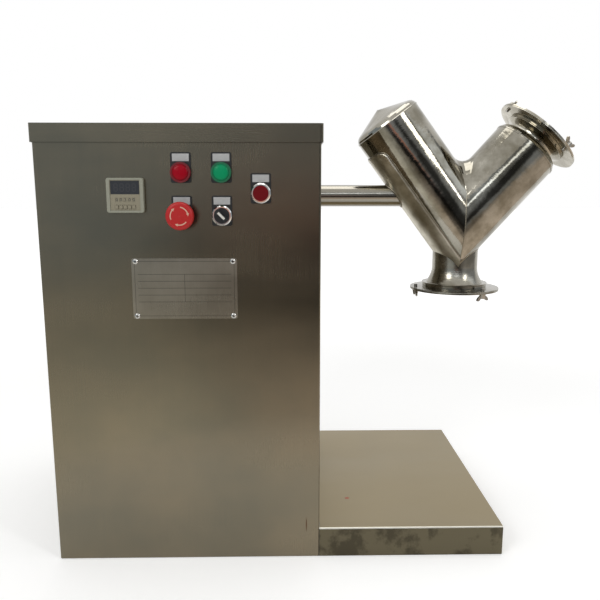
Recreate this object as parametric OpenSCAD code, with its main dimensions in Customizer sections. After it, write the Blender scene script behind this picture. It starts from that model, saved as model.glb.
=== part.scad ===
// Small V type powder mixer: a stainless cabinet on a low platform, and a V shaped tank on a
// cantilevered shaft. X runs along the shaft, Y towards the back, Z up.
// The origin is the middle of the footprint, on the floor.

/* [Base] */
// Length of the whole footprint
base_l = 720; // [600:5:900]
// Depth of the footprint, front to back
base_d = 425; // [380:5:520]
// Height of the platform above the floor
base_h = 50; // [40:1:70]
// Thickness of the stainless sheet
sheet_t = 1.5; // [1:0.1:2.5]
// Width of the frame rails under the sheet
rail_w = 40; // [25:1:60]
// Wall of the frame rails
rail_wall = 2; // [1.5:0.5:4]
// Cross rails under the platform and the cabinet
cross_count = 5; // [3:2:7]

/* [Cabinet] */
// Width of the cabinet
cabinet_w = 420; // [400:5:480]
// Height to the top of the cabinet cover
cabinet_h = 685; // [640:5:760]
// Bend radius of the upright edges
bend_r = 3; // [2:0.5:8]
// Leg width of the angle posts and rails
angle_w = 30; // [20:1:40]
// Leg thickness of the angle posts and rails
angle_t = 3; // [2:0.5:5]
// Depth of the skirt of the top cover
cover_skirt_h = 27; // [15:1:40]
// Gap between the cover skirt and the cabinet
cover_gap = 1.5; // [0.8:0.1:4]
// Width of the flanges that the rear panel is screwed to
return_w = 16; // [12:1:25]
// Louvres in one column of the rear panel
louvre_rows = 6; // [3:1:8]
// Length of one louvre
louvre_l = 110; // [60:5:130]
// How far a louvre hood stands out
louvre_r = 6; // [4:0.5:10]
// Distance between louvres
louvre_pitch = 22; // [18:1:28]

/* [Shaft and bearings] */
// Distance of the tank shaft below the top of the cabinet
shaft_drop = 105; // [100:1:115]
// Diameter of the tank shaft
shaft_d = 38; // [30:1:45]
// Diameter of the stepped end in the gearbox
shaft_end_d = 25; // [20:1:28]
// Radial running clearance of bearings and sleeves
run_gap = 0.05; // [0.02:0.01:0.1]
// Outer diameter of the inner bearing rings
ring_d = 52; // [50:1:60]
// Outer diameter of a pillow block
pillow_d = 96; // [80:1:104]
// Width of a pillow block
pillow_w = 44; // [34:1:50]
// Height of the shaft above a pillow block foot
pillow_h = 49; // [46:1:60]
// Length of a pillow block foot, front to back
pillow_l = 184; // [170:1:200]
// Distance between the two foot bolts
pillow_bolt_pitch = 137; // [128:1:146]
// Bolt diameter of the pillow blocks
pillow_bolt_d = 12; // [8:1:14]
// Share of the cabinet's width from the tank side to the inner pillow block
pillow_inner_share = 0.4; // [0.38:0.01:0.42]
// Distance of the outer pillow block from the cabinet's tank side
pillow_outer_in = 36; // [32:1:44]

/* [Gear motor] */
// Share of the cabinet's width from the tank side to the gearbox
gearbox_share = 0.69; // [0.68:0.01:0.7]
// Radius of the worm wheel case
wheel_case_r = 58; // [52:1:60]
// Width of the worm wheel case along the shaft
wheel_case_w = 84; // [70:1:92]
// Distance from the shaft to the worm
worm_offset = 63; // [60:1:66]
// Radius of the worm case
worm_case_r = 34; // [28:1:36]
// Outer diameter of the rotating hollow sleeve
sleeve_d = 40; // [36:1:44]
// Length of the rotating hollow sleeve
sleeve_l = 104; // [96:1:110]
// Radius of the motor flange
motor_flange_r = 60; // [55:1:64]
// Radius of the motor over its fins
motor_r = 59; // [54:1:62]
// Length of the finned motor body
motor_l = 150; // [120:5:160]
// Cooling fins around the motor
fin_count = 28; // [16:2:36]
// Depth of the cooling fins
fin_h = 6; // [3:0.5:8]
// Length of the fan cowl
cowl_l = 45; // [35:1:55]

/* [Tank] */
// Distance from the cabinet to where the two arm axes meet
apex_out = 258.5; // [245:0.5:275]
// Distance of that point below the shaft
apex_drop = 48.5; // [40:0.5:56]
// Outer diameter of the tank arms
arm_d = 123; // [100:1:140]
// Wall of the tank arms and necks
tank_wall = 2; // [1.2:0.1:3]
// Lean of the closed arm from upright
left_lean = 37; // [32:0.5:45]
// Lean of the feed arm from upright
right_lean = 42; // [35:0.5:48]
// Length of the closed arm from the apex to its head seam
left_arm_l = 216; // [190:1:240]
// Length of the feed arm from the apex to its head seam
right_arm_l = 173; // [160:1:210]
// Knuckle radius of the arm heads
head_knuckle_r = 14; // [6:1:16]
// Slope of the arm heads
head_slope = 20; // [12:1:28]
// Radius of the ground fillet in the crotch
crotch_r = 24; // [12:1:34]
// Thickness of the saddle plate on the closed arm
saddle_t = 2.5; // [1.5:0.5:4]
// Width of the saddle plate, measured straight across
saddle_w = 97; // [70:1:110]
// Top end of the saddle plate along the arm
saddle_top = 187; // [150:1:200]

/* [Ports] */
// Outer diameter of the feed neck
feed_neck_d = 89; // [70:1:96]
// Outer diameter of the outlet neck
outlet_neck_d = 81.5; // [70:0.5:92]
// Place of the feed flange face along the feed arm
feed_face = 206; // [200:1:215]
// Distance from where the arm axes meet down to the outlet flange face
outlet_face = 118.5; // [112:0.5:128]
// Diameter of the flared ring under a flange
ring_flare_d = 115; // [104:1:124]
// Diameter of the outlet flare where its ring starts
outlet_flare_d = 102; // [92:1:108]
// Height of the ring band at the outlet, flange included
outlet_ring_back = 10; // [6:0.5:14]
// Outer diameter of the flanges and lids
flange_d = 160; // [150:1:176]
// Thickness of a flange
flange_t = 2.5; // [1.5:0.5:5]
// Thickness of a gasket
gasket_t = 1; // [0.5:0.1:2]
// Thickness of a lid
lid_t = 2.5; // [1.5:0.5:5]
// Depth of the centring step under a lid
lid_step_h = 3; // [2:0.5:6]
// Diameter of the circle that the wing screws lie on
screw_circle_d = 142; // [138:1:148]
// Diameter of a wing screw shank
screw_d = 6; // [5:0.5:8]
// Span of the two wings
wing_span = 27; // [20:1:30]

/* [Controls] */
// Diameter of a control bezel
bezel_d = 29.5; // [28:0.5:30]
// Diameter of the threaded control bodies
body_d = 22; // [20:0.5:22]
// Diameter of the stop mushroom
mushroom_d = 41; // [32:1:44]
// Travel of the stop mushroom
mushroom_travel = 4; // [2:0.5:5]
// Travel of the push button
button_travel = 3; // [1:0.5:3.5]
// Width of a legend plate
legend_w = 30; // [29.5:0.5:34]
// Top edge of a legend plate above the control centre
legend_top = 29; // [26:0.5:32]
// Thickness of a legend plate
legend_t = 1.5; // [1.2:0.1:2.5]
// Turn of the selector pointer from upright at rest
selector_rest_turn = 45; // [30:5:60]
// Width of the nameplate
plate_w = 158; // [120:1:170]
// Height of the nameplate
plate_h = 92; // [70:1:110]

/* [Timer] */
// Width of the timer frame
timer_w = 53.5; // [52:0.5:56]
// Height of the timer frame
timer_h = 50; // [49:0.5:54]
// Side of the square timer fascia
fascia_w = 44; // [42:0.5:45]
// Depth of the timer behind the panel
timer_depth = 90; // [60:1:94]
// Travel of a digit key
key_travel = 1; // [0.5:0.1:1.5]

/* [Hidden] */
$fn = 64;

// Shared values
over = 1;
corner_steps = 5;
seat_gap = 0.1;
slot_gap = 0.3;
floor_gap = 1;

// Base values
base_x0 = -base_l/2;
base_x1 = base_l/2;
front_y = -base_d/2;
back_y = base_d/2;
rail_h = base_h - sheet_t;
rail_x1 = base_x1 - sheet_t;
rail_y1 = back_y - sheet_t;

// Cabinet values
cabinet_x0 = base_x0;
cabinet_x1 = base_x0 + cabinet_w;
cabinet_cx = (cabinet_x0 + cabinet_x1)/2;
shaft_z = cabinet_h - shaft_drop;
shell_top = cabinet_h - sheet_t;
in_x0 = cabinet_x0 + sheet_t;
in_x1 = cabinet_x1 - sheet_t;
post_top = shell_top - angle_t;
shelf_t = 6;
shelf_top = shaft_z - pillow_h;
shelf_z = shelf_top - shelf_t;
shaft_hole_gap = 1.5;
heel = bend_r - sheet_t;
louvre_wall = 1;
louvre_z = 250;
louvre_column_x = 90;
rear_screw_rows = 5;
pan_d = 4;
pan_head_d = 8;
pan_head_h = 2.4;
pan_l = 6;
rear_screw_edge = 75;
screw_rise_share = 0.4;

// Shaft and drive values
pillow_inner_x = cabinet_x1 - pillow_inner_share*cabinet_w;
pillow_outer_x = cabinet_x1 - pillow_outer_in;
gearbox_x = cabinet_x1 - gearbox_share*cabinet_w;
step_x = (pillow_inner_x - pillow_w/2 + gearbox_x + sleeve_l/2)/2;
shaft_end_x = gearbox_x - sleeve_l/2 - over;
key_w = 8;
key_h = 7;
key_l = 70;
key_depth = 4;
foot_h = 18;
foot_bolt_gap = 0.5;
pillow_web_w = 52;
bolt_head_share = 0.7;
bolt_hex_share = 1.85;
nut_share = 0.8;
shelf_cut_l = 140;
shelf_cut_front_gap = 8;
shelf_cut_back_gap = 10;
cut_y0 = -wheel_case_r - shelf_cut_front_gap;
cut_y1 = worm_offset + motor_flange_r + shelf_cut_back_gap;
gearbox_cover_r = 46;
gearbox_cover_t = 6;
gearbox_pad_w = 60;
gearbox_pad_out = 4;
gearbox_pad_y = -wheel_case_r - gearbox_pad_out;
worm_top_h = 60;
worm_bottom_h = 66;
motor_flange_t = 10;
bracket_t = 8;
bracket_w = 90;
bracket_h = 80;
bracket_foot = 42;
bracket_bolt_d = 8;
bracket_bolt_pitch = 50;
bracket_bolt_off = 32;
bracket_foot_bolt_y = gearbox_pad_y - bracket_bolt_off;
motor_top = shaft_z - worm_bottom_h - motor_flange_t;
motor_bottom = motor_top - motor_l;
cowl_bottom = motor_bottom - cowl_l;
fin_t = 2;
cowl_wall = 2;
cowl_rings = 3;
cowl_ring_pitch = 16;
cowl_slot_w = 6;
spoke_w = 6;
terminal_box = [40, 70, 80];

// Electrical values
tray_t = 2;
tray_off = 10;
tray_d = 240;
tray_h = 320;
tray_z = 280;
spacer_d = 12;
tray_spacer_edge = 20;
din_w = 35;
din_h = 7.5;
din_l = 200;
din_t = 1;
din_up = 90;
din_down = 70;
din_zs = [tray_z + din_up, tray_z - din_down];
contactor_size = [72, 45, 76];
contactor_share = -0.29;
contactor_y = contactor_share*tray_d;
contactor_step = 18;
block_pitch = 6.2;
block_size = [44, 6, 48];
block_count = 10;
block_share = -0.25;
block_y = block_share*tray_d;
gland_in = 60;
gland_x = cabinet_x0 + gland_in;
gland_z = 95;
gland_d = 20;
gland_bore_d = 10;
gland_hex_d = 27;
hex_flat_share = cos(30);
gland_flange_h = 5;
gland_dome_h = 18;

// Tank values
apex_x = cabinet_x1 + apex_out;
apex_z = shaft_z - apex_drop;
outlet_z = apex_z - outlet_face;
arm_r = arm_d/2;
seam_lean = (right_lean - left_lean)/2;
half_angle = (right_lean + left_lean)/2;
foot_l = arm_r/tan(half_angle) + over;
bead_h = 0.7;
bead_w = 2.4;
cut_size = 800;
saddle_corner_r = 13;
saddle_bottom = -80;
fillet_reach = 52;
fillet_sections = 20;
fillet_steps = 6;

// Port values
feed_r = feed_neck_d/2;
outlet_r = outlet_neck_d/2;
ring_r = ring_flare_d/2;
flange_r = flange_d/2;
feed_flare_l = 9;
feed_ring_back = 7;
feed_neck_l = 20;
outlet_flare_l = 28;
outlet_neck_l = 90;
flare_power = 2;
flare_steps = 8;
ring_bead = 1.2;
screw_circle_r = screw_circle_d/2;
screw_gap = 0.1;
screw_hub_d = 12;
screw_hub_h = 9;
screw_tip = 3;
wing_t = 3;
wing_h = 13;
wing_outline_shares = [[-0.3, 0.15], [0.3, 0.15], [0.8, 0.5], [1, 0.78], [0.96, 0.95], [0.8, 1],
    [0.6, 0.92], [0.3, 0.62], [-0.3, 0.62], [-0.6, 0.92], [-0.8, 1], [-0.96, 0.95], [-1, 0.78],
    [-0.8, 0.5]];
screw_turns = [60, 180, 300];
flange_edge_share = 0.4;

// Control values
left_column_share = 0.0107;
right_column_share = 0.1512;
stop_column_share = 0.2881;
pilot_drop = 70;
turn_drop = 132.5;
stop_drop = 100;
red_at = on_front(left_column_share, pilot_drop);
green_at = on_front(right_column_share, pilot_drop);
estop_at = on_front(left_column_share, turn_drop);
selector_at = on_front(right_column_share, turn_drop);
stop_at = on_front(stop_column_share, stop_drop);
controls = [red_at, green_at, estop_at, selector_at, stop_at];
hole_gap = 0.15;
bezel_r = bezel_d/2;
body_r = body_d/2;
tube_l = 40;
legend_bottom = 15;
legend_corner_r = 3;
insert_w = 24.6;
insert_h = 11;
insert_y = 21.5;
insert_t = 1;
insert_depth = 0.8;
pilot_h = 9;
lens_r = 12;
lens_seat = 2.5;
lens_h = 12.5;
collar_h = 12;
stem_r = 8;
stem_in = 25;
mushroom_r = mushroom_d/2;
mushroom_clear = 1;
mushroom_gap = mushroom_travel + mushroom_clear;
mushroom_h = 14;
mushroom_rim = 6;
mushroom_crown = 5;
pivot_r = 5;
pivot_l = 6;
chrome_h = 8;
chrome_wall = 3.2;
cap_gap = 0.3;
cap_r = bezel_r - chrome_wall - cap_gap;
cap_clear = 0.6;
cap_proud = 0.8;
cap_bottom = legend_t + button_travel + cap_clear;
cap_top = chrome_h + cap_proud;
rod_r = 5;
rod_in = 26;
knob_bar_w = 7;
knob_bar_h = 9;
pointer_w = 3;
pointer_l = 13;
pointer_depth = 0.5;
nut_h = 5;
nut_r = 15.5;
contact_size = [28, 34, 34];
plate_share = 0.0124;
plate_drop = 242;
plate_at = on_front(plate_share, plate_drop);
plate_t = 1;
plate_corner_r = 3;
plate_screw_dx = 72.8;
plate_screw_dz = 41.5;

// Timer values
key_count = 5;
timer_share = -0.1821;
timer_drop = 103;
timer_at = on_front(timer_share, timer_drop);
timer_frame_h = 9;
timer_corner_r = 3;
timer_body_w = 45;
timer_hole_gap = 0.3;
fascia_t = 3;
fascia_in = 1;
window_w = 42;
window_h = 19.5;
window_y = 11.2;
window_t = 1.5;
key_w_front = 4.4;
key_h_front = 5;
key_pitch = 6.2;
key_y = -16.8;
key_out = 1.2;
key_in = 2;
digit_w = 4.4;
digit_h = 6.4;
digit_y = -6.6;
digit_depth = 0.6;
fascia_top = timer_frame_h - fascia_in;
fascia_bottom = fascia_top - fascia_t;

// Colours
steel = [0.62, 0.61, 0.57];
bright = [0.78, 0.77, 0.74];
dark_steel = [0.36, 0.38, 0.4];
blue_grey = [0.34, 0.42, 0.48];
black = [0.08, 0.08, 0.08];
ivory = [0.86, 0.83, 0.74];
white = [0.9, 0.9, 0.88];

// A place on the front panel: a share of the width from its middle, and a distance below the top
function on_front(share, drop) = [cabinet_cx + share*cabinet_w, cabinet_h - drop];

// Points of a rectangle with rounded corners, centred on the origin
function rounded_points(w, h, r) = [
    for (c = [[1, 1, 0], [-1, 1, 90], [-1, -1, 180], [1, -1, 270]], i = [0:corner_steps])
        [c[0]*(w/2 - r) + r*cos(c[2] + 90*i/corner_steps),
         c[1]*(h/2 - r) + r*sin(c[2] + 90*i/corner_steps)]];

module rounded_rect(w, h, r) {
    polygon(rounded_points(w, h, r));
}

// An angle section: legs along +X and +Y from a heel at the origin, eased to clear sheet bends
module angle_section() {
    polygon([[heel, 0], [angle_w, 0], [angle_w, angle_t], [angle_t, angle_t], [angle_t, angle_w],
        [0, angle_w], [0, heel]]);
}

// Turns Z to point out of the front panel, with the origin on its face
module on_panel(at) {
    translate([at[0], front_y, at[1]]) rotate([90, 0, 0]) children();
}

// Turns Z to run along the shaft
module along_x(x) {
    translate([x, 0, shaft_z]) rotate([0, 90, 0]) children();
}

// Puts Z along an arm, with the origin where the arm axes meet
module on_left_arm() {
    translate([apex_x, 0, apex_z]) rotate([0, -left_lean, 0]) children();
}

module on_right_arm() {
    translate([apex_x, 0, apex_z]) rotate([0, right_lean, 0]) children();
}

// The half of space on one side of the seam where the arms are mitred, or a little more than half
module beside_seam(side, more = 0) {
    translate([apex_x, 0, apex_z]) rotate([0, seam_lean, 0])
        translate([side < 0 ? more - cut_size : -more, -cut_size/2, -cut_size/2]) cube(cut_size);
}

// Puts Z out of a port, with the origin on the flange face
module on_feed_face() {
    on_right_arm() translate([0, 0, feed_face]) children();
}

module on_outlet_face() {
    translate([apex_x, 0, outlet_z]) rotate([180, 0, 0]) children();
}

module hex_bolt(d, l, nut_at) {
    head_h = d*bolt_head_share;
    hex_r = d*bolt_hex_share/2;
    cylinder(r = hex_r, h = head_h, $fn = 6);
    translate([0, 0, -l]) cylinder(d = d, h = l + over);
    if (nut_at > 0)
        translate([0, 0, -nut_at - d*nut_share]) cylinder(r = hex_r, h = d*nut_share, $fn = 6);
}

// Base

module rail_x(l) {
    rotate([90, 0, 90]) linear_extrude(l, center = true) difference() {
        square([rail_w, rail_h], center = true);
        square([rail_w - 2*rail_wall, rail_h - 2*rail_wall], center = true);
    }
}

module base_frame() color(dark_steel) {
    cross_l = 2*(rail_y1 - rail_w);
    for (side = [-1, 1])
        translate([0, side*(rail_y1 - rail_w/2), rail_h/2]) rail_x(2*rail_x1);
    for (i = [0:cross_count - 1])
        translate([(rail_x1 - rail_w/2)*(2*i/(cross_count - 1) - 1), 0, rail_h/2])
            rotate([0, 0, 90]) rail_x(cross_l);
}

module base_deck() color(steel) difference() {
    intersection() {
        translate([cabinet_x1, 0, 0]) rotate([90, 0, 90])
            linear_extrude(base_x1 - cabinet_x1)
                translate([0, floor_gap - bend_r + (base_h - floor_gap + bend_r)/2])
                    rounded_rect(base_d, base_h - floor_gap + bend_r, bend_r);
        translate([cabinet_x1 - over, front_y, floor_gap])
            cube([base_x1 - cabinet_x1 + over, base_d, base_h - floor_gap]);
    }
    translate([cabinet_x1 - over, front_y + sheet_t, floor_gap - over])
        cube([base_x1 - cabinet_x1 + over - sheet_t, base_d - 2*sheet_t, rail_h - floor_gap + over]);
}

// Cabinet

// One bent sheet: the front, two sides and a flange along the back of each side
module shell_outline() {
    difference() {
        translate([cabinet_cx, -sheet_t/2]) rounded_rect(cabinet_w, base_d - sheet_t, bend_r);
        translate([cabinet_cx, -sheet_t/2])
            rounded_rect(cabinet_w - 2*sheet_t, base_d - 3*sheet_t, bend_r - sheet_t);
        translate([in_x0 + return_w, 0]) square([cabinet_w - 2*sheet_t - 2*return_w, back_y]);
    }
}

module cabinet_shell() color(steel) difference() {
    translate([0, 0, floor_gap]) linear_extrude(shell_top - floor_gap) shell_outline();
    translate([in_x0, -rail_y1, 0]) cube([base_x1 - in_x0, 2*rail_y1, rail_h]);
    rear_screw_holes();
    plate_screw_holes();
    for (at = controls)
        on_panel(at) translate([0, 0, -sheet_t - over])
            cylinder(r = body_r + hole_gap, h = sheet_t + 2*over);
    on_panel(timer_at) translate([0, 0, -sheet_t/2])
        cube([timer_body_w + 2*timer_hole_gap, timer_body_w + 2*timer_hole_gap, sheet_t + 2*over],
            center = true);
    along_x(in_x1 - over) cylinder(r = shaft_d/2 + shaft_hole_gap, h = sheet_t + 2*over);
}

// The front posts stand against the front sheet, the rear ones against the rear flanges
function post_y(sy) = sy < 0 ? -rail_y1 : rail_y1 - sheet_t;

module post(sx, sy) {
    translate([sx < 0 ? in_x0 : in_x1, post_y(sy), rail_h]) mirror([sx > 0 ? 1 : 0, 0, 0])
        mirror([0, sy > 0 ? 1 : 0, 0]) linear_extrude(post_top - rail_h) angle_section();
}

// A rail along X, one leg upright and one level at its top
module long_rail(sy, y, z, l) {
    translate([cabinet_cx - l/2, y, z]) mirror([0, sy > 0 ? 1 : 0, 0])
        rotate([90, 0, 90]) linear_extrude(l) mirror([0, 1]) angle_section();
}

module cabinet_frame() color(dark_steel) difference() {
    union() {
        for (sx = [-1, 1], sy = [-1, 1]) post(sx, sy);
        for (sy = [-1, 1]) {
            long_rail(sy, post_y(sy), shell_top, in_x1 - in_x0 - 2*heel);
            long_rail(sy, post_y(sy) - sy*angle_t, shelf_z, in_x1 - in_x0 - 2*angle_t);
        }
        for (sx = [-1, 1])
            translate([sx < 0 ? in_x0 : in_x1, -rail_y1 + angle_w, shell_top])
                mirror([sx > 0 ? 1 : 0, 0, 0]) rotate([-90, 0, 0])
                    linear_extrude(2*rail_y1 - 2*angle_w - sheet_t) angle_section();
    }
    rear_screw_holes();
}

module louvre(x, z) {
    translate([x, back_y, z]) rotate([0, 90, 0]) children();
}

module louvre_hood() {
    linear_extrude(louvre_l, center = true) intersection() {
        difference() {
            circle(r = louvre_r);
            circle(r = louvre_r - louvre_wall);
        }
        translate([-louvre_r, 0]) square([louvre_r, louvre_r]);
    }
    for (side = [-1, 1])
        translate([0, 0, side*(louvre_l - louvre_wall)/2])
            linear_extrude(louvre_wall, center = true) intersection() {
                circle(r = louvre_r);
                translate([-louvre_r, 0]) square([louvre_r, louvre_r]);
            }
}

function louvre_places() = [
    for (sx = [-1, 1], i = [0:louvre_rows - 1])
        [cabinet_cx + sx*louvre_column_x, louvre_z + i*louvre_pitch]];

function rear_screw_places() = [
    for (sx = [-1, 1], i = [0:rear_screw_rows - 1])
        [cabinet_cx + sx*(cabinet_w/2 - sheet_t - return_w/2),
         rear_screw_edge + i*(shell_top - 2*rear_screw_edge)/(rear_screw_rows - 1)]];

module rear_screw_holes() {
    for (at = rear_screw_places())
        translate([at[0], back_y + over, at[1]]) rotate([90, 0, 0])
            cylinder(d = pan_d, h = pan_l + 2*over);
}

module plate_screw_holes() {
    for (sx = [-1, 1], sz = [-1, 1])
        on_panel([plate_at[0] + sx*plate_screw_dx, plate_at[1] + sz*plate_screw_dz])
            translate([0, 0, -pan_l - over])
                cylinder(d = pan_d, h = pan_l + plate_t + 2*over);
}

module rear_panel() color(steel) {
    difference() {
        translate([in_x0 + seat_gap, back_y - sheet_t, floor_gap])
            cube([in_x1 - in_x0 - 2*seat_gap, sheet_t, shell_top - floor_gap]);
        for (at = louvre_places())
            translate([at[0] - louvre_l/2 + louvre_wall, back_y - sheet_t - over, at[1]])
                cube([louvre_l - 2*louvre_wall, sheet_t + 2*over, louvre_r - louvre_wall]);
        rear_screw_holes();
        translate([gland_x, back_y + over, gland_z]) rotate([90, 0, 0])
            cylinder(r = gland_d/2 + hole_gap, h = sheet_t + 2*over);
    }
    for (at = louvre_places()) louvre(at[0], at[1]) louvre_hood();
}

// A pan head screw along Z, its head seat at the origin
module pan_screw() {
    rotate_extrude() polygon([[0, -pan_l], [pan_d/2, -pan_l],
        [pan_d/2, 0], [pan_head_d/2, 0],
        [pan_head_d/2, pan_head_h*screw_rise_share], [pan_d/2, pan_head_h],
        [0, pan_head_h]]);
}

module panel_screws() color(bright) {
    for (at = rear_screw_places())
        translate([at[0], back_y, at[1]]) rotate([-90, 0, 0]) pan_screw();
    for (sx = [-1, 1], sz = [-1, 1])
        on_panel([plate_at[0] + sx*plate_screw_dx, plate_at[1] + sz*plate_screw_dz])
            translate([0, 0, plate_t]) pan_screw();
}

module top_cover() color(steel) {
    out_w = cabinet_w + 2*cover_gap + 2*sheet_t;
    out_d = base_d + 2*cover_gap + 2*sheet_t;
    difference() {
        translate([cabinet_cx, 0, cabinet_h - cover_skirt_h]) linear_extrude(cover_skirt_h)
            rounded_rect(out_w, out_d, bend_r + cover_gap);
        translate([cabinet_cx, 0, cabinet_h - cover_skirt_h - over])
            linear_extrude(cover_skirt_h - sheet_t + over)
                rounded_rect(out_w - 2*sheet_t, out_d - 2*sheet_t, bend_r);
    }
}

// Drive

module drive_shelf() color(dark_steel) difference() {
    translate([in_x0 + angle_t, -rail_y1 + angle_t, shelf_z])
        cube([in_x1 - in_x0 - 2*angle_t, 2*rail_y1 - 2*angle_t - sheet_t, shelf_t]);
    translate([gearbox_x - shelf_cut_l/2, cut_y0, shelf_z - over])
        cube([shelf_cut_l, cut_y1 - cut_y0, shelf_t + 2*over]);
    for (at = pillow_bolt_places())
        translate([at[0], at[1], shelf_z - over])
            cylinder(r = pillow_bolt_d/2 + foot_bolt_gap, h = shelf_t + 2*over);
    for (at = bracket_bolt_places())
        translate([at[0], at[1], shelf_z - over])
            cylinder(r = bracket_bolt_d/2 + foot_bolt_gap, h = shelf_t + 2*over);
}

function pillow_bolt_places() = [
    for (x = [pillow_inner_x, pillow_outer_x], sy = [-1, 1]) [x, sy*pillow_bolt_pitch/2]];

function bracket_bolt_places() = [
    for (sx = [-1, 1]) [gearbox_x + sx*bracket_bolt_pitch/2, bracket_foot_bolt_y]];

module pillow_block(x) difference() {
    union() {
        translate([x - pillow_w/2, -pillow_l/2, shelf_top]) cube([pillow_w, pillow_l, foot_h]);
        along_x(x) cylinder(d = pillow_d, h = pillow_w, center = true);
        translate([x - pillow_w/2, -pillow_web_w, shelf_top]) cube([pillow_w, 2*pillow_web_w, pillow_h/2]);
    }
    along_x(x) cylinder(r = ring_d/2 + run_gap, h = pillow_w + 2*over, center = true);
    for (sy = [-1, 1])
        translate([x, sy*pillow_bolt_pitch/2, shelf_top - over])
            cylinder(r = pillow_bolt_d/2 + foot_bolt_gap, h = foot_h + 2*over);
}

module bearing_housings() color(blue_grey) {
    pillow_block(pillow_inner_x);
    pillow_block(pillow_outer_x);
}

module bearing_rings() color(bright) {
    for (x = [pillow_inner_x, pillow_outer_x])
        along_x(x) difference() {
            cylinder(d = ring_d, h = pillow_w, center = true);
            cylinder(d = shaft_d, h = pillow_w + 2*over, center = true);
        }
}

module drive_bolts() color(bright) {
    for (at = pillow_bolt_places())
        translate([at[0], at[1], shelf_top + foot_h])
            hex_bolt(pillow_bolt_d, foot_h + shelf_t + pillow_bolt_d, foot_h + shelf_t);
    for (at = bracket_bolt_places())
        translate([at[0], at[1], shelf_top + bracket_t])
            hex_bolt(bracket_bolt_d, bracket_t + shelf_t + bracket_bolt_d, bracket_t + shelf_t);
}

module gearbox_housing() color(blue_grey) difference() {
    union() {
        along_x(gearbox_x) cylinder(r = wheel_case_r, h = wheel_case_w, center = true);
        along_x(gearbox_x)
            cylinder(r = gearbox_cover_r, h = wheel_case_w + 2*gearbox_cover_t, center = true);
        translate([gearbox_x, worm_offset, shaft_z - worm_bottom_h])
            cylinder(r = worm_case_r, h = worm_bottom_h + worm_top_h);
        translate([gearbox_x - worm_case_r, 0, shaft_z - worm_case_r])
            cube([2*worm_case_r, worm_offset, 2*worm_case_r]);
        translate([gearbox_x, worm_offset, motor_top])
            cylinder(r = motor_flange_r, h = motor_flange_t);
        translate([gearbox_x - gearbox_pad_w/2, gearbox_pad_y, shaft_z - gearbox_pad_w/2])
            cube([gearbox_pad_w, -gearbox_pad_y, gearbox_pad_w]);
    }
    along_x(gearbox_x)
        cylinder(r = sleeve_d/2 + run_gap, h = sleeve_l + 2*over, center = true);
}

module gearbox_bracket() color(dark_steel) difference() {
    union() {
        translate([gearbox_x - bracket_w/2, gearbox_pad_y - bracket_t, shelf_top])
            cube([bracket_w, bracket_t, bracket_h]);
        translate([gearbox_x - bracket_w/2, gearbox_pad_y - bracket_foot, shelf_top])
            cube([bracket_w, bracket_foot, bracket_t]);
    }
    for (at = bracket_bolt_places())
        translate([at[0], at[1], shelf_top - over])
            cylinder(r = bracket_bolt_d/2 + foot_bolt_gap, h = bracket_t + 2*over);
}

module motor_outline() {
    circle(r = motor_r - fin_h);
    for (i = [0:fin_count - 1])
        rotate(i*360/fin_count) translate([0, -fin_t/2]) square([motor_r, fin_t]);
}

module motor_body() color(blue_grey)
    translate([gearbox_x, worm_offset, 0]) {
        translate([0, 0, motor_bottom]) linear_extrude(motor_l) motor_outline();
        translate([-motor_r - terminal_box[0]/2, -terminal_box[1]/2, motor_bottom + fin_h])
            cube([terminal_box[0], terminal_box[1], terminal_box[2]]);
    }

module fan_cowl() color(dark_steel) translate([gearbox_x, worm_offset, cowl_bottom]) difference() {
    cylinder(r = motor_r, h = cowl_l);
    translate([0, 0, cowl_wall]) cylinder(r = motor_r - cowl_wall, h = cowl_l);
    for (i = [1:cowl_rings]) translate([0, 0, -over]) difference() {
        cylinder(r = i*cowl_ring_pitch, h = cowl_wall + 2*over);
        cylinder(r = i*cowl_ring_pitch - cowl_slot_w, h = cowl_wall + 2*over);
        for (turn = [0, 90])
            rotate(turn) translate([-motor_r, -spoke_w/2, 0])
                cube([2*motor_r, spoke_w, cowl_wall + 2*over]);
    }
}

// Electrical tray on the left wall

module din_rail(z) {
    lip = din_w/4;
    translate([in_x0 + tray_off + tray_t, -din_l/2, z]) rotate([0, 0, 90]) rotate([90, 0, 90])
        linear_extrude(din_l) translate([-din_h, 0]) {
            translate([din_h - din_t, -din_w/2 + lip]) square([din_t, din_w - 2*lip]);
            for (s = [-1, 1]) {
                translate([0, s*(din_w/2 - lip) - (s > 0 ? 0 : din_t)]) square([din_h, din_t]);
                translate([0, s > 0 ? din_w/2 - lip : -din_w/2]) square([din_t, lip]);
            }
        }
}

module electrical_plate() color(bright) {
    translate([in_x0 + tray_off, -tray_d/2, tray_z - tray_h/2]) cube([tray_t, tray_d, tray_h]);
    for (sy = [-1, 1], sz = [-1, 1])
        translate([in_x0, sy*(tray_d/2 - tray_spacer_edge), tray_z + sz*(tray_h/2 - tray_spacer_edge)])
            rotate([0, 90, 0]) cylinder(d = spacer_d, h = tray_off);
    for (z = din_zs) din_rail(z);
}

module contactor() color(ivory)
    translate([in_x0 + tray_off + tray_t + din_h, contactor_y - contactor_size[1]/2,
        din_zs[0] - contactor_size[2]/2]) {
        cube([contactor_size[0] - contactor_step, contactor_size[1], contactor_size[2]]);
        translate([0, 0, contactor_step])
            cube([contactor_size[0], contactor_size[1], contactor_size[2] - 2*contactor_step]);
    }

module terminal_blocks() color(white)
    for (i = [0:block_count - 1])
        translate([in_x0 + tray_off + tray_t + din_h, block_y + i*block_pitch,
            din_zs[1] - block_size[2]/2]) cube(block_size);

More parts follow.
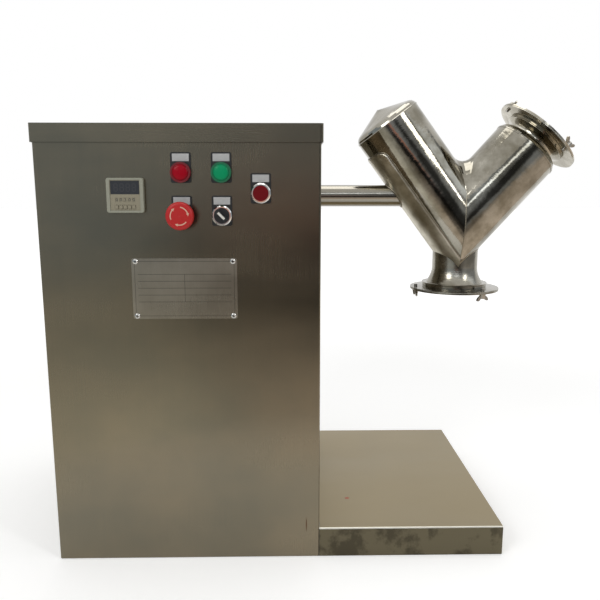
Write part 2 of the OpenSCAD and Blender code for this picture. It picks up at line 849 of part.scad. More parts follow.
module cable_gland() color(black) translate([gland_x, back_y, gland_z]) rotate([-90, 0, 0])
    difference() {
        union() {
            cylinder(d = gland_hex_d, h = gland_flange_h, $fn = 6);
            cylinder(d1 = gland_hex_d*hex_flat_share, d2 = gland_d, h = gland_dome_h);
            translate([0, 0, -sheet_t - gland_flange_h])
                cylinder(d = gland_d, h = sheet_t + gland_flange_h + over);
            translate([0, 0, -sheet_t - gland_flange_h])
                cylinder(d = gland_hex_d, h = gland_flange_h, $fn = 6);
        }
        translate([0, 0, -sheet_t - gland_flange_h - over])
            cylinder(d = gland_bore_d, h = sheet_t + gland_flange_h + gland_dome_h + 2*over);
    }

// Controls on the front panel

module threaded_tube(bore_r) {
    difference() {
        translate([0, 0, -tube_l]) cylinder(r = body_r, h = tube_l + legend_t);
        translate([0, 0, -tube_l - over]) cylinder(r = bore_r, h = tube_l + legend_t + 2*over);
    }
}

module switch_bodies() color(black) {
    for (at = [red_at, green_at]) on_panel(at) {
        translate([0, 0, -tube_l]) cylinder(r = body_r, h = tube_l + lens_seat);
        difference() {
            translate([0, 0, legend_t]) cylinder(r = bezel_r, h = pilot_h - legend_t);
            translate([0, 0, lens_seat]) cylinder(r = lens_r + seat_gap, h = pilot_h);
        }
    }
    on_panel(estop_at) difference() {
        union() {
            translate([0, 0, -tube_l]) cylinder(r = body_r, h = tube_l + legend_t + over);
            translate([0, 0, legend_t])
                cylinder(r1 = bezel_r, r2 = bezel_r - chrome_wall, h = collar_h - legend_t);
        }
        translate([0, 0, -tube_l - over]) cylinder(r = stem_r + run_gap, h = tube_l + collar_h + 2*over);
    }
    for (at = [selector_at, stop_at]) on_panel(at) threaded_tube(rod_r + run_gap);
}

module control_bezels() color(bright)
    for (at = [selector_at, stop_at]) on_panel(at) rotate_extrude()
        polygon([[bezel_r - chrome_wall, legend_t], [bezel_r, legend_t],
            [bezel_r, chrome_h - chrome_wall/2], [bezel_r - chrome_wall/2, chrome_h],
            [bezel_r - chrome_wall, chrome_h]]);

module lens(at) on_panel(at) {
    translate([0, 0, lens_seat]) cylinder(r = lens_r, h = pilot_h - lens_seat);
    rotate_extrude() polygon(concat([[0, pilot_h - over], [lens_r, pilot_h - over]],
        [for (i = [0:corner_steps]) [lens_r*cos(90*i/corner_steps),
            pilot_h + (lens_h - pilot_h)*sin(90*i/corner_steps)]]));
}

module red_lens() color("red") lens(red_at);

module green_lens() color("green") lens(green_at);

module legend_plates() color(black) for (at = controls) on_panel(at) difference() {
    translate([0, (legend_top - legend_bottom)/2, 0]) linear_extrude(legend_t)
        rounded_rect(legend_w, legend_top + legend_bottom, legend_corner_r);
    translate([0, 0, -over]) cylinder(r = body_r + hole_gap, h = legend_t + 2*over);
    translate([-insert_w/2, insert_y - insert_h/2, legend_t - insert_depth])
        cube([insert_w, insert_h, insert_depth + over]);
}

module legend_inserts() color(bright) for (at = controls) on_panel(at)
    translate([-insert_w/2 + seat_gap, insert_y - insert_h/2 + seat_gap, legend_t - insert_depth])
        cube([insert_w - 2*seat_gap, insert_h - 2*seat_gap, insert_t]);

module lock_nuts() color(black) for (at = controls) on_panel(at)
    translate([0, 0, -sheet_t - nut_h]) difference() {
        cylinder(r = nut_r, h = nut_h, $fn = 8);
        translate([0, 0, -over]) cylinder(r = body_r, h = nut_h + 2*over);
    }

module contact_blocks() color(white) for (at = controls) on_panel(at)
    translate([-contact_size[0]/2, -contact_size[1]/2, -tube_l - contact_size[2]])
        cube(contact_size);

module nameplate() color(bright) difference() {
    on_panel(plate_at) linear_extrude(plate_t) rounded_rect(plate_w, plate_h, plate_corner_r);
    plate_screw_holes();
}

module estop_stem() color(black) on_panel(estop_at) {
    top = collar_h + mushroom_gap;
    translate([0, 0, -stem_in]) cylinder(r = stem_r, h = stem_in + top);
    translate([0, 0, top - over]) cylinder(r = pivot_r, h = pivot_l + over);
}

module estop_mushroom() color("red") on_panel(estop_at)
    translate([0, 0, collar_h + mushroom_gap]) difference() {
        rotate_extrude() polygon(concat([[0, 0], [mushroom_r - mushroom_crown/2, 0],
            [mushroom_r, mushroom_crown/2], [mushroom_r, mushroom_rim]],
            [for (i = [1:corner_steps]) [mushroom_r - mushroom_crown*(1 - cos(90*i/corner_steps)),
                mushroom_rim + mushroom_crown*sin(90*i/corner_steps)]],
            [[0, mushroom_h - mushroom_crown/2]]));
        translate([0, 0, -over]) cylinder(r = pivot_r + run_gap, h = pivot_l + over + seat_gap);
    }

module selector_knob() color(black) on_panel(selector_at) {
    translate([0, 0, -rod_in]) cylinder(r = rod_r, h = rod_in + cap_bottom + over);
    translate([0, 0, cap_bottom]) cylinder(r = cap_r, h = cap_top - cap_bottom);
    rotate(selector_rest_turn) difference() {
        translate([0, 0, cap_bottom]) linear_extrude(cap_top - cap_bottom + knob_bar_h) intersection() {
            square([knob_bar_w, 2*cap_r], center = true);
            circle(r = cap_r);
        }
        translate([-pointer_w/2, -pointer_l/2, cap_top + knob_bar_h - pointer_depth])
            cube([pointer_w, pointer_l, pointer_depth + over]);
    }
}

module push_button() color("red") on_panel(stop_at) {
    translate([0, 0, -rod_in]) cylinder(r = rod_r, h = rod_in + cap_bottom + over);
    translate([0, 0, cap_bottom]) cylinder(r = cap_r, h = cap_top - cap_bottom);
}

// Timer

function key_x(i) = (i - (key_count + 1)/2)*key_pitch;

module key_slots(gap, bottom, top) {
    for (i = [1:key_count])
        translate([key_x(i) - key_w_front/2 - gap, key_y - key_h_front/2 - gap, bottom])
            cube([key_w_front + 2*gap, key_h_front + 2*gap, top - bottom]);
}

module timer_case() color(ivory) on_panel(timer_at) difference() {
    union() {
        linear_extrude(timer_frame_h) rounded_rect(timer_w, timer_h, timer_corner_r);
        translate([-timer_body_w/2, -timer_body_w/2, -timer_depth])
            cube([timer_body_w, timer_body_w, timer_depth + over]);
    }
    translate([-fascia_w/2, -fascia_w/2, fascia_bottom])
        cube([fascia_w, fascia_w, timer_frame_h]);
    key_slots(slot_gap, fascia_bottom - key_in - key_travel - slot_gap, timer_frame_h);
}

module timer_fascia() color(ivory) on_panel(timer_at) difference() {
    translate([-fascia_w/2 + seat_gap, -fascia_w/2 + seat_gap, fascia_bottom])
        cube([fascia_w - 2*seat_gap, fascia_w - 2*seat_gap, fascia_t]);
    translate([-window_w/2, window_y - window_h/2, fascia_top - window_t])
        cube([window_w, window_h, window_t + over]);
    key_slots(slot_gap, fascia_bottom - over, timer_frame_h);
    for (i = [1:key_count])
        translate([key_x(i) - digit_w/2, digit_y - digit_h/2, fascia_top - digit_depth])
            cube([digit_w, digit_h, digit_depth + over]);
}

module timer_window() color(black) on_panel(timer_at)
    translate([-window_w/2 + seat_gap, window_y - window_h/2 + seat_gap, fascia_top - window_t])
        cube([window_w - 2*seat_gap, window_h - 2*seat_gap, window_t]);

module timer_key(i) color(ivory) on_panel(timer_at)
    translate([key_x(i) - key_w_front/2, key_y - key_h_front/2, fascia_bottom - key_in])
        cube([key_w_front, key_h_front, key_in + fascia_t + key_out]);

// Shaft

module main_shaft() color(bright) difference() {
    union() {
        along_x(shaft_end_x) cylinder(d = shaft_end_d, h = step_x - shaft_end_x + over);
        along_x(step_x) cylinder(d = shaft_d, h = apex_x - step_x);
    }
    on_left_arm() cylinder(r = arm_r + saddle_t, h = left_arm_l);
    on_left_arm() mirror([0, 0, 1]) cylinder(r = arm_r + saddle_t, h = left_arm_l);
    key_space(key_depth);
}

// The key lies on top of the shaft end, half in the shaft and half in the sleeve
module key_space(depth) {
    translate([gearbox_x - key_l/2, -key_w/2, shaft_z + shaft_end_d/2 - depth])
        cube([key_l, key_w, key_h]);
}

module shaft_key() color(dark_steel) key_space(key_depth);

module output_sleeve() color(bright) difference() {
    along_x(gearbox_x) cylinder(d = sleeve_d, h = sleeve_l, center = true);
    along_x(gearbox_x) cylinder(d = shaft_end_d, h = sleeve_l + 2*over, center = true);
    key_space(key_depth);
}

// Tank

module outlet_bore() {
    translate([apex_x, 0, outlet_z]) cylinder(r = outlet_r - tank_wall, h = apex_z - outlet_z);
}

module arm_body(l) {
    translate([0, 0, -foot_l]) cylinder(r = arm_r, h = foot_l + l);
}

// The outer shape of both mitred arms as one body, each just past the seam so that they merge
module v_body() union() {
    intersection() {
        on_left_arm() arm_body(left_arm_l);
        beside_seam(-1, run_gap);
    }
    intersection() {
        on_right_arm() arm_body(right_arm_l);
        beside_seam(1, run_gap);
    }
}

module arm_tube(l) {
    difference() {
        arm_body(l);
        translate([0, 0, -foot_l - over]) cylinder(r = arm_r - tank_wall, h = foot_l + l + 2*over);
    }
}

module left_arm() color(bright) difference() {
    intersection() {
        on_left_arm() arm_tube(left_arm_l);
        beside_seam(-1);
    }
    outlet_bore();
}

module right_arm() color(bright) difference() {
    intersection() {
        on_right_arm() arm_tube(right_arm_l);
        beside_seam(1);
    }
    outlet_bore();
}

// Outer line of a head at one offset inwards: knuckle arc, then the cone towards the tip
function head_line(inset, tip_r) = concat(
    [for (i = [0:corner_steps]) let (a = (90 - head_slope)*i/corner_steps)
        [arm_r - head_knuckle_r + (head_knuckle_r - inset)*cos(a),
         (head_knuckle_r - inset)*sin(a)]],
    [[tip_r, (head_knuckle_r - inset)*cos(head_slope)
        + (arm_r - head_knuckle_r + (head_knuckle_r - inset)*sin(head_slope) - tip_r)*tan(head_slope)]]);

function reversed(list) = [for (i = [len(list) - 1:-1:0]) list[i]];

module head_shell(tip_r) rotate_extrude()
    polygon(concat([[arm_r, 0], [arm_r + bead_h, 0], [arm_r + bead_h, bead_w], [arm_r, bead_w + bead_h]],
        [for (p = head_line(0, tip_r)) if (p[1] > bead_w + bead_h) p],
        tip_r > 0 ? [] : [[0, head_line(tank_wall, 0)[corner_steps + 1][1]]],
        reversed(head_line(tank_wall, tip_r))));

module left_head() color(bright) on_left_arm() translate([0, 0, left_arm_l]) head_shell(0);

module right_head() color(bright) on_right_arm() translate([0, 0, right_arm_l]) head_shell(feed_r);

// The fillet in the crotch: at each offset from the seam's middle the two arms make a V, and the
// section of the fillet is the corner between that V and a circle that touches both of its sides
function crotch_depth(y) = sqrt(arm_r*arm_r - y*y);
function crotch_fillet_r(y) = crotch_r*(1 - pow(y/fillet_reach, 2));
function from_apex(x, y, z) = [
    apex_x + x*cos(seam_lean) + z*sin(seam_lean), y, apex_z - x*sin(seam_lean) + z*cos(seam_lean)];
function fillet_section(y) = let (r = crotch_fillet_r(y), c = (crotch_depth(y) + r)/sin(half_angle))
    concat([from_apex(0, y, crotch_depth(y)/sin(half_angle))],
        [for (i = [0:fillet_steps]) let (a = (90 - half_angle)*(2*i/fillet_steps - 1))
            from_apex(r*sin(a), y, c - r*cos(a))]);

module crotch_fillet() color(bright) {
    m = fillet_steps + 2;
    n = fillet_sections - 1;
    ys = [for (i = [1:n]) fillet_reach*(2*i/fillet_sections - 1)];
    ends = [for (s = [-1, 1]) from_apex(0, s*fillet_reach, crotch_depth(fillet_reach)/sin(half_angle))];
    points = concat([for (y = ys) each fillet_section(y)], ends);
    polyhedron(points, concat(
        [for (j = [0:n - 2], i = [0:m - 1]) each
            [[j*m + i, (j + 1)*m + i, (j + 1)*m + (i + 1)%m],
             [j*m + i, (j + 1)*m + (i + 1)%m, j*m + (i + 1)%m]]],
        [for (i = [0:m - 1]) [n*m, i, (i + 1)%m]],
        [for (i = [0:m - 1]) [n*m + 1, (n - 1)*m + (i + 1)%m, (n - 1)*m + i]]));
}

module saddle_plate() color(bright) difference() {
    intersection() {
        on_left_arm() difference() {
            translate([0, 0, saddle_bottom])
                cylinder(r = arm_r + saddle_t, h = saddle_top - saddle_bottom);
            translate([0, 0, saddle_bottom - over])
                cylinder(r = arm_r, h = saddle_top - saddle_bottom + 2*over);
        }
        on_left_arm() translate([0, 0, (saddle_top + saddle_bottom)/2]) rotate([0, -90, 0])
            linear_extrude(arm_d) rounded_rect(saddle_top - saddle_bottom, saddle_w, saddle_corner_r);
        beside_seam(-1);
    }
    translate([apex_x, 0, outlet_z]) cylinder(r = outlet_r, h = apex_z - outlet_z);
}

// A port neck along Z with its flange face at the origin: a tube, a trumpet flare, a beaded ring
// and a flat flange. Where the flare ends narrower than the ring, a shoulder closes the ring's top
function flare_line(neck_r, end_r, flare_l, ring_back, inset) = [
    for (i = [0:flare_steps]) let (u = i/flare_steps)
        [neck_r + (end_r - neck_r)*pow(u, flare_power) - inset, -ring_back - flare_l*(1 - u)]];

module port_neck(neck_r, neck_l, end_r, flare_l, ring_back) difference() {
    rotate_extrude() polygon(concat([[neck_r, -neck_l]],
        flare_line(neck_r, end_r, flare_l, ring_back, 0),
        [[ring_r + ring_bead, -ring_back], [ring_r + ring_bead, -ring_back + ring_bead],
         [ring_r, -ring_back + 2*ring_bead], [ring_r, -flange_t],
         [flange_r, -flange_t*flange_edge_share], [flange_r, 0], [ring_r - tank_wall, 0]],
        end_r < ring_r ? [[ring_r - tank_wall, tank_wall - ring_back],
            [end_r - tank_wall, tank_wall - ring_back]] : [],
        reversed(flare_line(neck_r, end_r, flare_l, ring_back, tank_wall)),
        [[neck_r - tank_wall, -neck_l]]));
    for (turn = screw_turns) rotate(turn) translate([screw_circle_r, 0, -flange_t - over])
        cylinder(r = screw_d/2 + screw_gap, h = flange_t + 2*over);
}

module feed_neck() color(bright) on_feed_face()
    port_neck(feed_r, feed_neck_l, ring_r, feed_flare_l, feed_ring_back);

module outlet_neck() color(bright) difference() {
    on_outlet_face()
        port_neck(outlet_r, outlet_neck_l, outlet_flare_d/2, outlet_flare_l, outlet_ring_back);
    v_body();
}

module gasket() difference() {
    cylinder(r = flange_r - over, h = gasket_t);
    translate([0, 0, -over]) cylinder(r = ring_r - tank_wall, h = gasket_t + 2*over);
    for (turn = screw_turns) rotate(turn) translate([screw_circle_r, 0, -over])
        cylinder(r = screw_d/2 + screw_gap, h = gasket_t + 2*over);
}

module gaskets() color(white) {
    on_feed_face() gasket();
    on_outlet_face() gasket();
}

module port_lid() translate([0, 0, gasket_t]) difference() {
    union() {
        cylinder(r = flange_r, h = lid_t);
        translate([0, 0, -gasket_t - lid_step_h])
            cylinder(r = ring_r - tank_wall - slot_gap, h = lid_step_h + gasket_t + over);
    }
    for (turn = screw_turns) rotate(turn) translate([screw_circle_r, 0, -over])
        cylinder(r = screw_d/2 + run_gap, h = lid_t + 2*over);
}

module feed_lid() color(bright) on_feed_face() port_lid();

module outlet_lid() color(bright) on_outlet_face() port_lid();

// A wing screw in its place on a lid: shank, hub and two upswept wings
module wing_screw(i) rotate(screw_turns[i - 1]) translate([screw_circle_r, 0, gasket_t + lid_t]) {
    shank_l = lid_t + gasket_t + flange_t + screw_tip;
    translate([0, 0, -shank_l]) cylinder(d = screw_d, h = shank_l + over);
    cylinder(d1 = screw_hub_d, d2 = screw_hub_d - wing_t, h = screw_hub_h);
    rotate([90, 0, 90]) linear_extrude(wing_t, center = true) polygon([
        for (p = wing_outline_shares) [p[0]*wing_span/2, p[1]*wing_h]]);
}

module feed_screw(i) color(bright) on_feed_face() wing_screw(i);

module outlet_screw(i) color(bright) on_outlet_face() wing_screw(i);

base_frame();
base_deck();
cabinet_shell();
cabinet_frame();
rear_panel();
panel_screws();
top_cover();
drive_shelf();
bearing_housings();
drive_bolts();
gearbox_housing();
gearbox_bracket();
motor_body();
fan_cowl();
electrical_plate();
contactor();
terminal_blocks();
cable_gland();
timer_case();
timer_fascia();
timer_window();
timer_key(1);  // timer_key_1
timer_key(2);  // timer_key_2
timer_key(3);  // timer_key_3
timer_key(4);  // timer_key_4
timer_key(5);  // timer_key_5
switch_bodies();
control_bezels();
red_lens();
green_lens();
legend_plates();
legend_inserts();
lock_nuts();
contact_blocks();
nameplate();
estop_stem();
estop_mushroom();
selector_knob();
push_button();
main_shaft();
shaft_key();
bearing_rings();
output_sleeve();
saddle_plate();
left_arm();
right_arm();
crotch_fillet();
left_head();
right_head();
feed_neck();
outlet_neck();
gaskets();
feed_lid();
feed_screw(1);  // feed_screw_1
feed_screw(2);  // feed_screw_2
feed_screw(3);  // feed_screw_3
outlet_lid();
outlet_screw(1);  // outlet_screw_1
outlet_screw(2);  // outlet_screw_2
outlet_screw(3);  // outlet_screw_3
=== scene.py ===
# %% [markdown]
# # A V-type powder mixer in Blender
# The machine is a stainless cabinet on a low platform, with a polished V-shaped tank on a shaft
# that comes out of the cabinet's side. The solids come packed from CAD and stay as they are.
# This script gives them their finishes and adds what CAD leaves out: welds, digits, printed
# marks and stains. All lengths are in metres, X runs along the shaft, Y to the back and Z up.
#
# The solids' own sizes are measured here, because much that comes later is placed by them and
# not by typed numbers. A node is one named piece of the machine, and its box is a pair of corners.

# %% Load the imported machine
import math

import bmesh
import bpy
import numpy as np
from mathutils import Matrix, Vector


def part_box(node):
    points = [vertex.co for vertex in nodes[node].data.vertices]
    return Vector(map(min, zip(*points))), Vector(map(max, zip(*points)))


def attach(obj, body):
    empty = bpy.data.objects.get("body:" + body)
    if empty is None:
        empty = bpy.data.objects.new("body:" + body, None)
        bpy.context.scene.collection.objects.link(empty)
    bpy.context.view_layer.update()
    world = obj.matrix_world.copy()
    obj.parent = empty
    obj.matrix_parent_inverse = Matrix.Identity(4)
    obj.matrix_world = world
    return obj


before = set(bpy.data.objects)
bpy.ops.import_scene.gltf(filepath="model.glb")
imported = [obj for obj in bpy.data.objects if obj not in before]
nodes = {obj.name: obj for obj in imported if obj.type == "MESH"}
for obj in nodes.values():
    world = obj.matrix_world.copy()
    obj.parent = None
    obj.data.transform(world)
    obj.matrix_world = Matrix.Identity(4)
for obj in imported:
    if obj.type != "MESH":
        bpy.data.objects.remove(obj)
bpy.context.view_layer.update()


def corners(name):
    """The lowest and the highest corner of a node's box."""
    return np.array(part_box(name))


def middle(name):
    """The centre of a node's box, as three plain numbers."""
    return tuple(float(v) for v in corners(name).mean(0))


# %% [markdown]
# The camera stands a little under a metre in front of the panel, just above the level of the
# shaft, and looks down about ten degrees. A camera could be aimed at a target object, but two
# plain angles say the same and can be changed one at a time. The place, the angles and the lens
# were worked out from the straight edges of the cabinet and the platform.

# %% The camera
CAMERA_PLACE = (0.01197, -1.15374, 0.58725)
CAMERA_PITCH = math.radians(9.77)
CAMERA_YAW = math.radians(1.014)
LENS_MM = 37.74
SENSOR_MM = 36

camera_data = bpy.data.cameras.new("camera")
camera_data.sensor_width = SENSOR_MM
camera_data.lens = LENS_MM
camera = bpy.data.objects.new("camera", camera_data)
camera.location = CAMERA_PLACE
camera.rotation_euler = (math.pi / 2 - CAMERA_PITCH, 0, -CAMERA_YAW)
bpy.context.scene.collection.objects.link(camera)
bpy.context.scene.camera = camera
print("camera at", CAMERA_PLACE)

# %% [markdown]
# A finish is a tree of nodes, which could be laid out one node and one link at a time. That is
# long to read, because shader maths reads best as plain expressions. So a Field wraps one socket
# of a tree, and its operators add Math nodes: `1 - mask` or `lines * 0.3` is written as in any
# script.


# %% Nodes as expressions
class Field:
    """One number that varies over a surface; + - * < > and the methods add Math nodes."""

    def __init__(self, finish, socket):
        self.finish, self.socket = finish, socket

    def math(self, operation, *others, clamp=False):
        settings = {"operation": operation, "use_clamp": clamp}
        return self.finish.node("Math", settings, dict(enumerate((self,) + others)))

    def flipped(self, operation, other):
        return self.finish.node("Math", {"operation": operation}, {0: other, 1: self})

    def __add__(self, other):
        return self.math("ADD", other)

    def __sub__(self, other):
        return self.math("SUBTRACT", other)

    def __mul__(self, other):
        return self.math("MULTIPLY", other)

    def __rsub__(self, other):
        return self.flipped("SUBTRACT", other)

    def __gt__(self, other):
        return self.math("GREATER_THAN", other)

    def __lt__(self, other):
        return self.math("LESS_THAN", other)

    __radd__ = __add__
    __rmul__ = __mul__

    def clamp(self):
        return self.math("ADD", 0, clamp=True)

    def abs(self):
        return self.math("ABSOLUTE")

    def step(self, low, high):
        """Runs smoothly from 0 where the number is low to 1 where it is high."""
        settings = {"interpolation_type": "SMOOTHSTEP"}
        sockets = {"Value": self, "From Min": low, "From Max": high}
        if low > high:
            sockets = {"Value": self, "From Min": high, "From Max": low, "To Min": 1, "To Max": 0}
        return self.finish.node("MapRange", settings, sockets)


print("fields ready")

# %% [markdown]
# A Finish is one material with its main shader. Every node comes from one method, Finish.node,
# which sets the node's own settings first and then the values or the links of its sockets. Even
# the Math nodes of a Field come from it. The methods after it are the few patterns that this
# machine needs: a place, a noise, a distance, a mix of two colours and a bump.


# %% A material under construction
class Finish:
    """A material under construction: one Principled shader and the nodes that feed it."""

    def __init__(self, name, tree=None, **shader_values):
        if tree is None:
            self.material = bpy.data.materials.new(name)
            self.material.use_nodes = True
            tree = self.material.node_tree
        self.tree = tree
        shaders = ("BSDF_PRINCIPLED", "BACKGROUND")
        self.shader = next(n for n in self.tree.nodes if n.type in shaders)
        for socket, value in shader_values.items():
            self.feed(socket.replace("_", " "), value)

    def feed(self, socket, value):
        self.join(self.shader.inputs[socket], value)

    def join(self, socket, value):
        """Links a Field to a socket, or sets the socket to a number or a colour."""
        if isinstance(value, Field):
            self.tree.links.new(value.socket, socket)
        elif isinstance(value, tuple) and len(value) == 3 and socket.type == "RGBA":
            socket.default_value = (*value, 1)
        else:
            socket.default_value = value

    def node(self, kind, settings=None, sockets=None, out=0):
        """Adds a node of a kind, and gives back one of its outputs as a Field."""
        made = self.tree.nodes.new("ShaderNode" + kind)
        for name, value in (settings or {}).items():
            setattr(made, name, value)
        for key, value in (sockets or {}).items():
            self.join(self.pick(made.inputs, key), value)
        return Field(self, self.pick(made.outputs, out))

    @staticmethod
    def pick(sockets, key):
        """A socket by its place in the list, its identifier or its name."""
        if isinstance(key, int):
            return sockets[key]
        return next(s for s in sockets if key in (s.identifier, s.name))

    def place(self, turn=(0, 0, 0), stretch=(1, 1, 1), centre=(0, 0, 0)):
        """Object coordinates, taken about a centre, turned and then stretched."""
        at = self.node("TexCoord", out="Object")
        at = self.node("VectorMath", {"operation": "SUBTRACT"}, {0: at, 1: centre})
        at = self.node("Mapping", {}, {"Vector": at, "Rotation": turn})
        return self.node("VectorMath", {"operation": "MULTIPLY"}, {0: at, 1: stretch})

    def noise(self, at, scale, detail=2, roughness=0.5):
        """A cloudy number from 0 to 1, mostly near 0.5, at the given places."""
        values = {"Vector": at, "Scale": scale, "Detail": detail, "Roughness": roughness}
        return self.node("TexNoise", {}, values, out="Fac")

    def length(self, at):
        """The distance of each place from where its coordinates are 0."""
        return self.node("VectorMath", {"operation": "LENGTH"}, {0: at}, out="Value")

    def axes(self, at):
        """The three coordinates of a place."""
        return [self.node("SeparateXYZ", {}, {0: at}, out=i) for i in range(3)]

    def blend(self, share, low, high):
        """Two colours mixed by a share."""
        values = {"Factor_Float": share, "A_Color": low, "B_Color": high}
        return self.node("Mix", {"data_type": "RGBA"}, values, out="Result_Color")

    def scaled(self, colour, share):
        """A colour made lighter or darker by a share."""
        return self.node("VectorMath", {"operation": "SCALE"}, {"Vector": colour, "Scale": share})

    def bump(self, height, depth, strength=1.0, under=None):
        """A normal tilted by a height, over the normal of a coarser bump under it."""
        values = {"Height": height, "Distance": depth, "Strength": strength}
        if under is not None:
            values["Normal"] = under
        return self.node("Bump", {}, values, out="Normal")


print("finishes ready")


# %% [markdown]
# A new piece is a surface: a grid of points worked out by numpy, with a four-cornered face in
# every cell. A curve object with a bevel could draw a bead too, but its section can't swell and
# shrink in ripples, and a grid can. Two ways of filling it are enough for this machine: a profile
# of radii and heights carried round an upright axis, and a small ring carried along a path.


# %% From a grid of points to a mesh
def unit(vectors):
    """Each vector divided by its own length."""
    return vectors / np.linalg.norm(vectors, axis=-1, keepdims=True)


def grid_mesh(name, points, loop_rows=False, loop_columns=False):
    """A mesh over points of shape (rows, columns, 3); a loop joins the last ones to the first."""
    index = np.arange(points.shape[0] * points.shape[1]).reshape(points.shape[:2])
    if loop_rows:
        index = np.vstack([index, index[:1]])
    if loop_columns:
        index = np.hstack([index, index[:, :1]])
    cells = index[:-1, :-1], index[:-1, 1:], index[1:, 1:], index[1:, :-1]
    faces = np.stack(cells, axis=-1).reshape(-1, 4)
    mesh = bpy.data.meshes.new(name)
    mesh.from_pydata(points.reshape(-1, 3).tolist(), [], faces.tolist())
    mesh.polygons.foreach_set("use_smooth", [True] * len(mesh.polygons))
    return mesh


SAME_PLACE = 1e-6


def close_up(mesh):
    """Merges the points that meet at a pole and turns every face outwards."""
    shape = bmesh.new()
    shape.from_mesh(mesh)
    bmesh.ops.remove_doubles(shape, verts=shape.verts, dist=SAME_PLACE)
    bmesh.ops.recalc_face_normals(shape, faces=shape.faces)
    shape.to_mesh(mesh)
    shape.free()


def add_object(mesh, material):
    """An object at the origin that shows a mesh in one material."""
    piece = bpy.data.objects.new(mesh.name, mesh)
    mesh.materials.append(material)
    bpy.context.scene.collection.objects.link(piece)
    return piece


print("mesh helpers ready")

# %% [markdown]
# The studio is plain: a pale floor, a white room and soft lamps. A white background could come
# from much more light, but then the steel would wash out. So the floor and the room glow only
# for the rays that look at them, straight or in a mirror, and light the machine much less.

# %% The floor and the white room
FLOOR_SIZE = 40.0
ROOM_LIGHT = 0.5
NEAR_LIFT = 0.3
FAR_LIFT = 0.62
NEAR_FLOOR, FAR_FLOOR = 0.9, 2.6
FLOOR_DARK, FLOOR_LIGHT = (0.84, 0.84, 0.83), (0.88, 0.88, 0.87)


def seen_directly(finish):
    """1 for rays of the camera and for mirrored and refracted ones, 0 for diffuse light."""
    rays = [finish.node("LightPath", out=o) for o in
            ("Is Camera Ray", "Is Glossy Ray", "Is Transmission Ray")]
    return (rays[0] + rays[1] + rays[2]).clamp()


side = np.array([-FLOOR_SIZE / 2, FLOOR_SIZE / 2])
floor_points = np.stack([*np.meshgrid(side, side), np.zeros((2, 2))], axis=-1)
pale = Finish("pale_floor", Roughness=0.9, Emission_Strength=1.0)
at = pale.place()
pale.feed("Base Color", pale.blend(pale.noise(at, 60, 3), FLOOR_DARK, FLOOR_LIGHT))
far = pale.length(at).step(NEAR_FLOOR, FAR_FLOOR)
pale.feed("Emission Color", seen_directly(pale) * (far * (FAR_LIFT - NEAR_LIFT) + NEAR_LIFT))
floor = add_object(grid_mesh("floor", floor_points), pale.material)

scene = bpy.context.scene
scene.view_settings.view_transform = "Standard"
scene.world = bpy.data.worlds.new("white_room")
scene.world.use_nodes = True
white_room = Finish("white_room", tree=scene.world.node_tree)
white_room.feed("Color", seen_directly(white_room) * (1 - ROOM_LIGHT) + ROOM_LIGHT)
print("floor", FLOOR_SIZE, "m wide, white room at", ROOM_LIGHT)

# %% [markdown]
# Three rectangular lamps do the rest. Small lamps would draw hard white lines on the tank, and a
# lamp as large as a window gives the broad bands that polished steel shows. The left one is the
# strongest, the right one is tall and narrow, and the third hangs over the tank. A lamp shines
# along its own downward axis, so its two angles come from the direction to what it aims at.

# %% Soft lamps
# Each lamp: its place, its width and height, and its power in watts
LAMPS = {
    "lamp_left": ((-1.5, -1.9, 1.9), (1.1, 1.1), 24),
    "lamp_right": ((1.9, -1.75, 1.55), (0.4, 1.3), 13),
    "lamp_top": ((0.1, 0.3, 2.3), (1.4, 1.4), 15),
}
LAMP_AIM = np.array((0.05, 0.0, 0.45))
for name, (place, size, power) in LAMPS.items():
    lamp_data = bpy.data.lights.new(name, "AREA")
    lamp_data.shape = "RECTANGLE"
    lamp_data.size, lamp_data.size_y = size
    lamp_data.energy = power
    lamp = bpy.data.objects.new(name, lamp_data)
    lamp.location = place
    away = np.array(place) - LAMP_AIM
    across = math.hypot(away[0], away[1])
    lamp.rotation_euler = (math.atan2(across, away[2]), 0, math.atan2(away[0], -away[1]))
    scene.collection.objects.link(lamp)
print("lamps:", ", ".join(LAMPS))

# %% [markdown]
# Polished steel shows what stands around it, and behind a camera there is usually something dim.
# Here a sweep of dim cloth stands there, lying on the floor in front and rising behind the
# camera. Only mirror-like rays see it, so it gives the panel and the tank their darker streaks,
# while every other surface is lit by the white room. It is a profile carried round Z.

# %% The dim sweep behind the camera
SWEEP_RADIUS = 2.7
SWEEP_FRONT = 0.75
SWEEP_TOP = 2.3
SWEEP_BEND = 0.4
SWEEP_LIFT = 0.002
SWEEP_HALF_ANGLE = math.radians(105)

bend = np.linspace(0, math.pi / 2, 9)
bend_reach = SWEEP_RADIUS - SWEEP_BEND + SWEEP_BEND * np.sin(bend)
bend_rise = SWEEP_LIFT + SWEEP_BEND * (1 - np.cos(bend))
reaches = np.concatenate([[SWEEP_FRONT], bend_reach, [SWEEP_RADIUS]])
rises = np.concatenate([[SWEEP_LIFT], bend_rise, [SWEEP_TOP]])
turn = np.linspace(-SWEEP_HALF_ANGLE, SWEEP_HALF_ANGLE, 73)[:, None]
sweep_points = np.stack([np.sin(turn) * reaches, -np.cos(turn) * reaches,
                         np.ones_like(turn) * rises], axis=-1)
print("dim sweep at", SWEEP_RADIUS, "m")

# %% [markdown]
# How bright the cloth is depends on where it hangs. A place on it is told by its azimuth, which
# is 0 straight in front of the machine and grows to the right, and by its height. Soft windows
# in these two numbers make a dark patch for the panel, a dark band for the tank, a rusty patch,
# and two bright shelves that draw the white lines on the arms. Lower down the cloth is warmer.

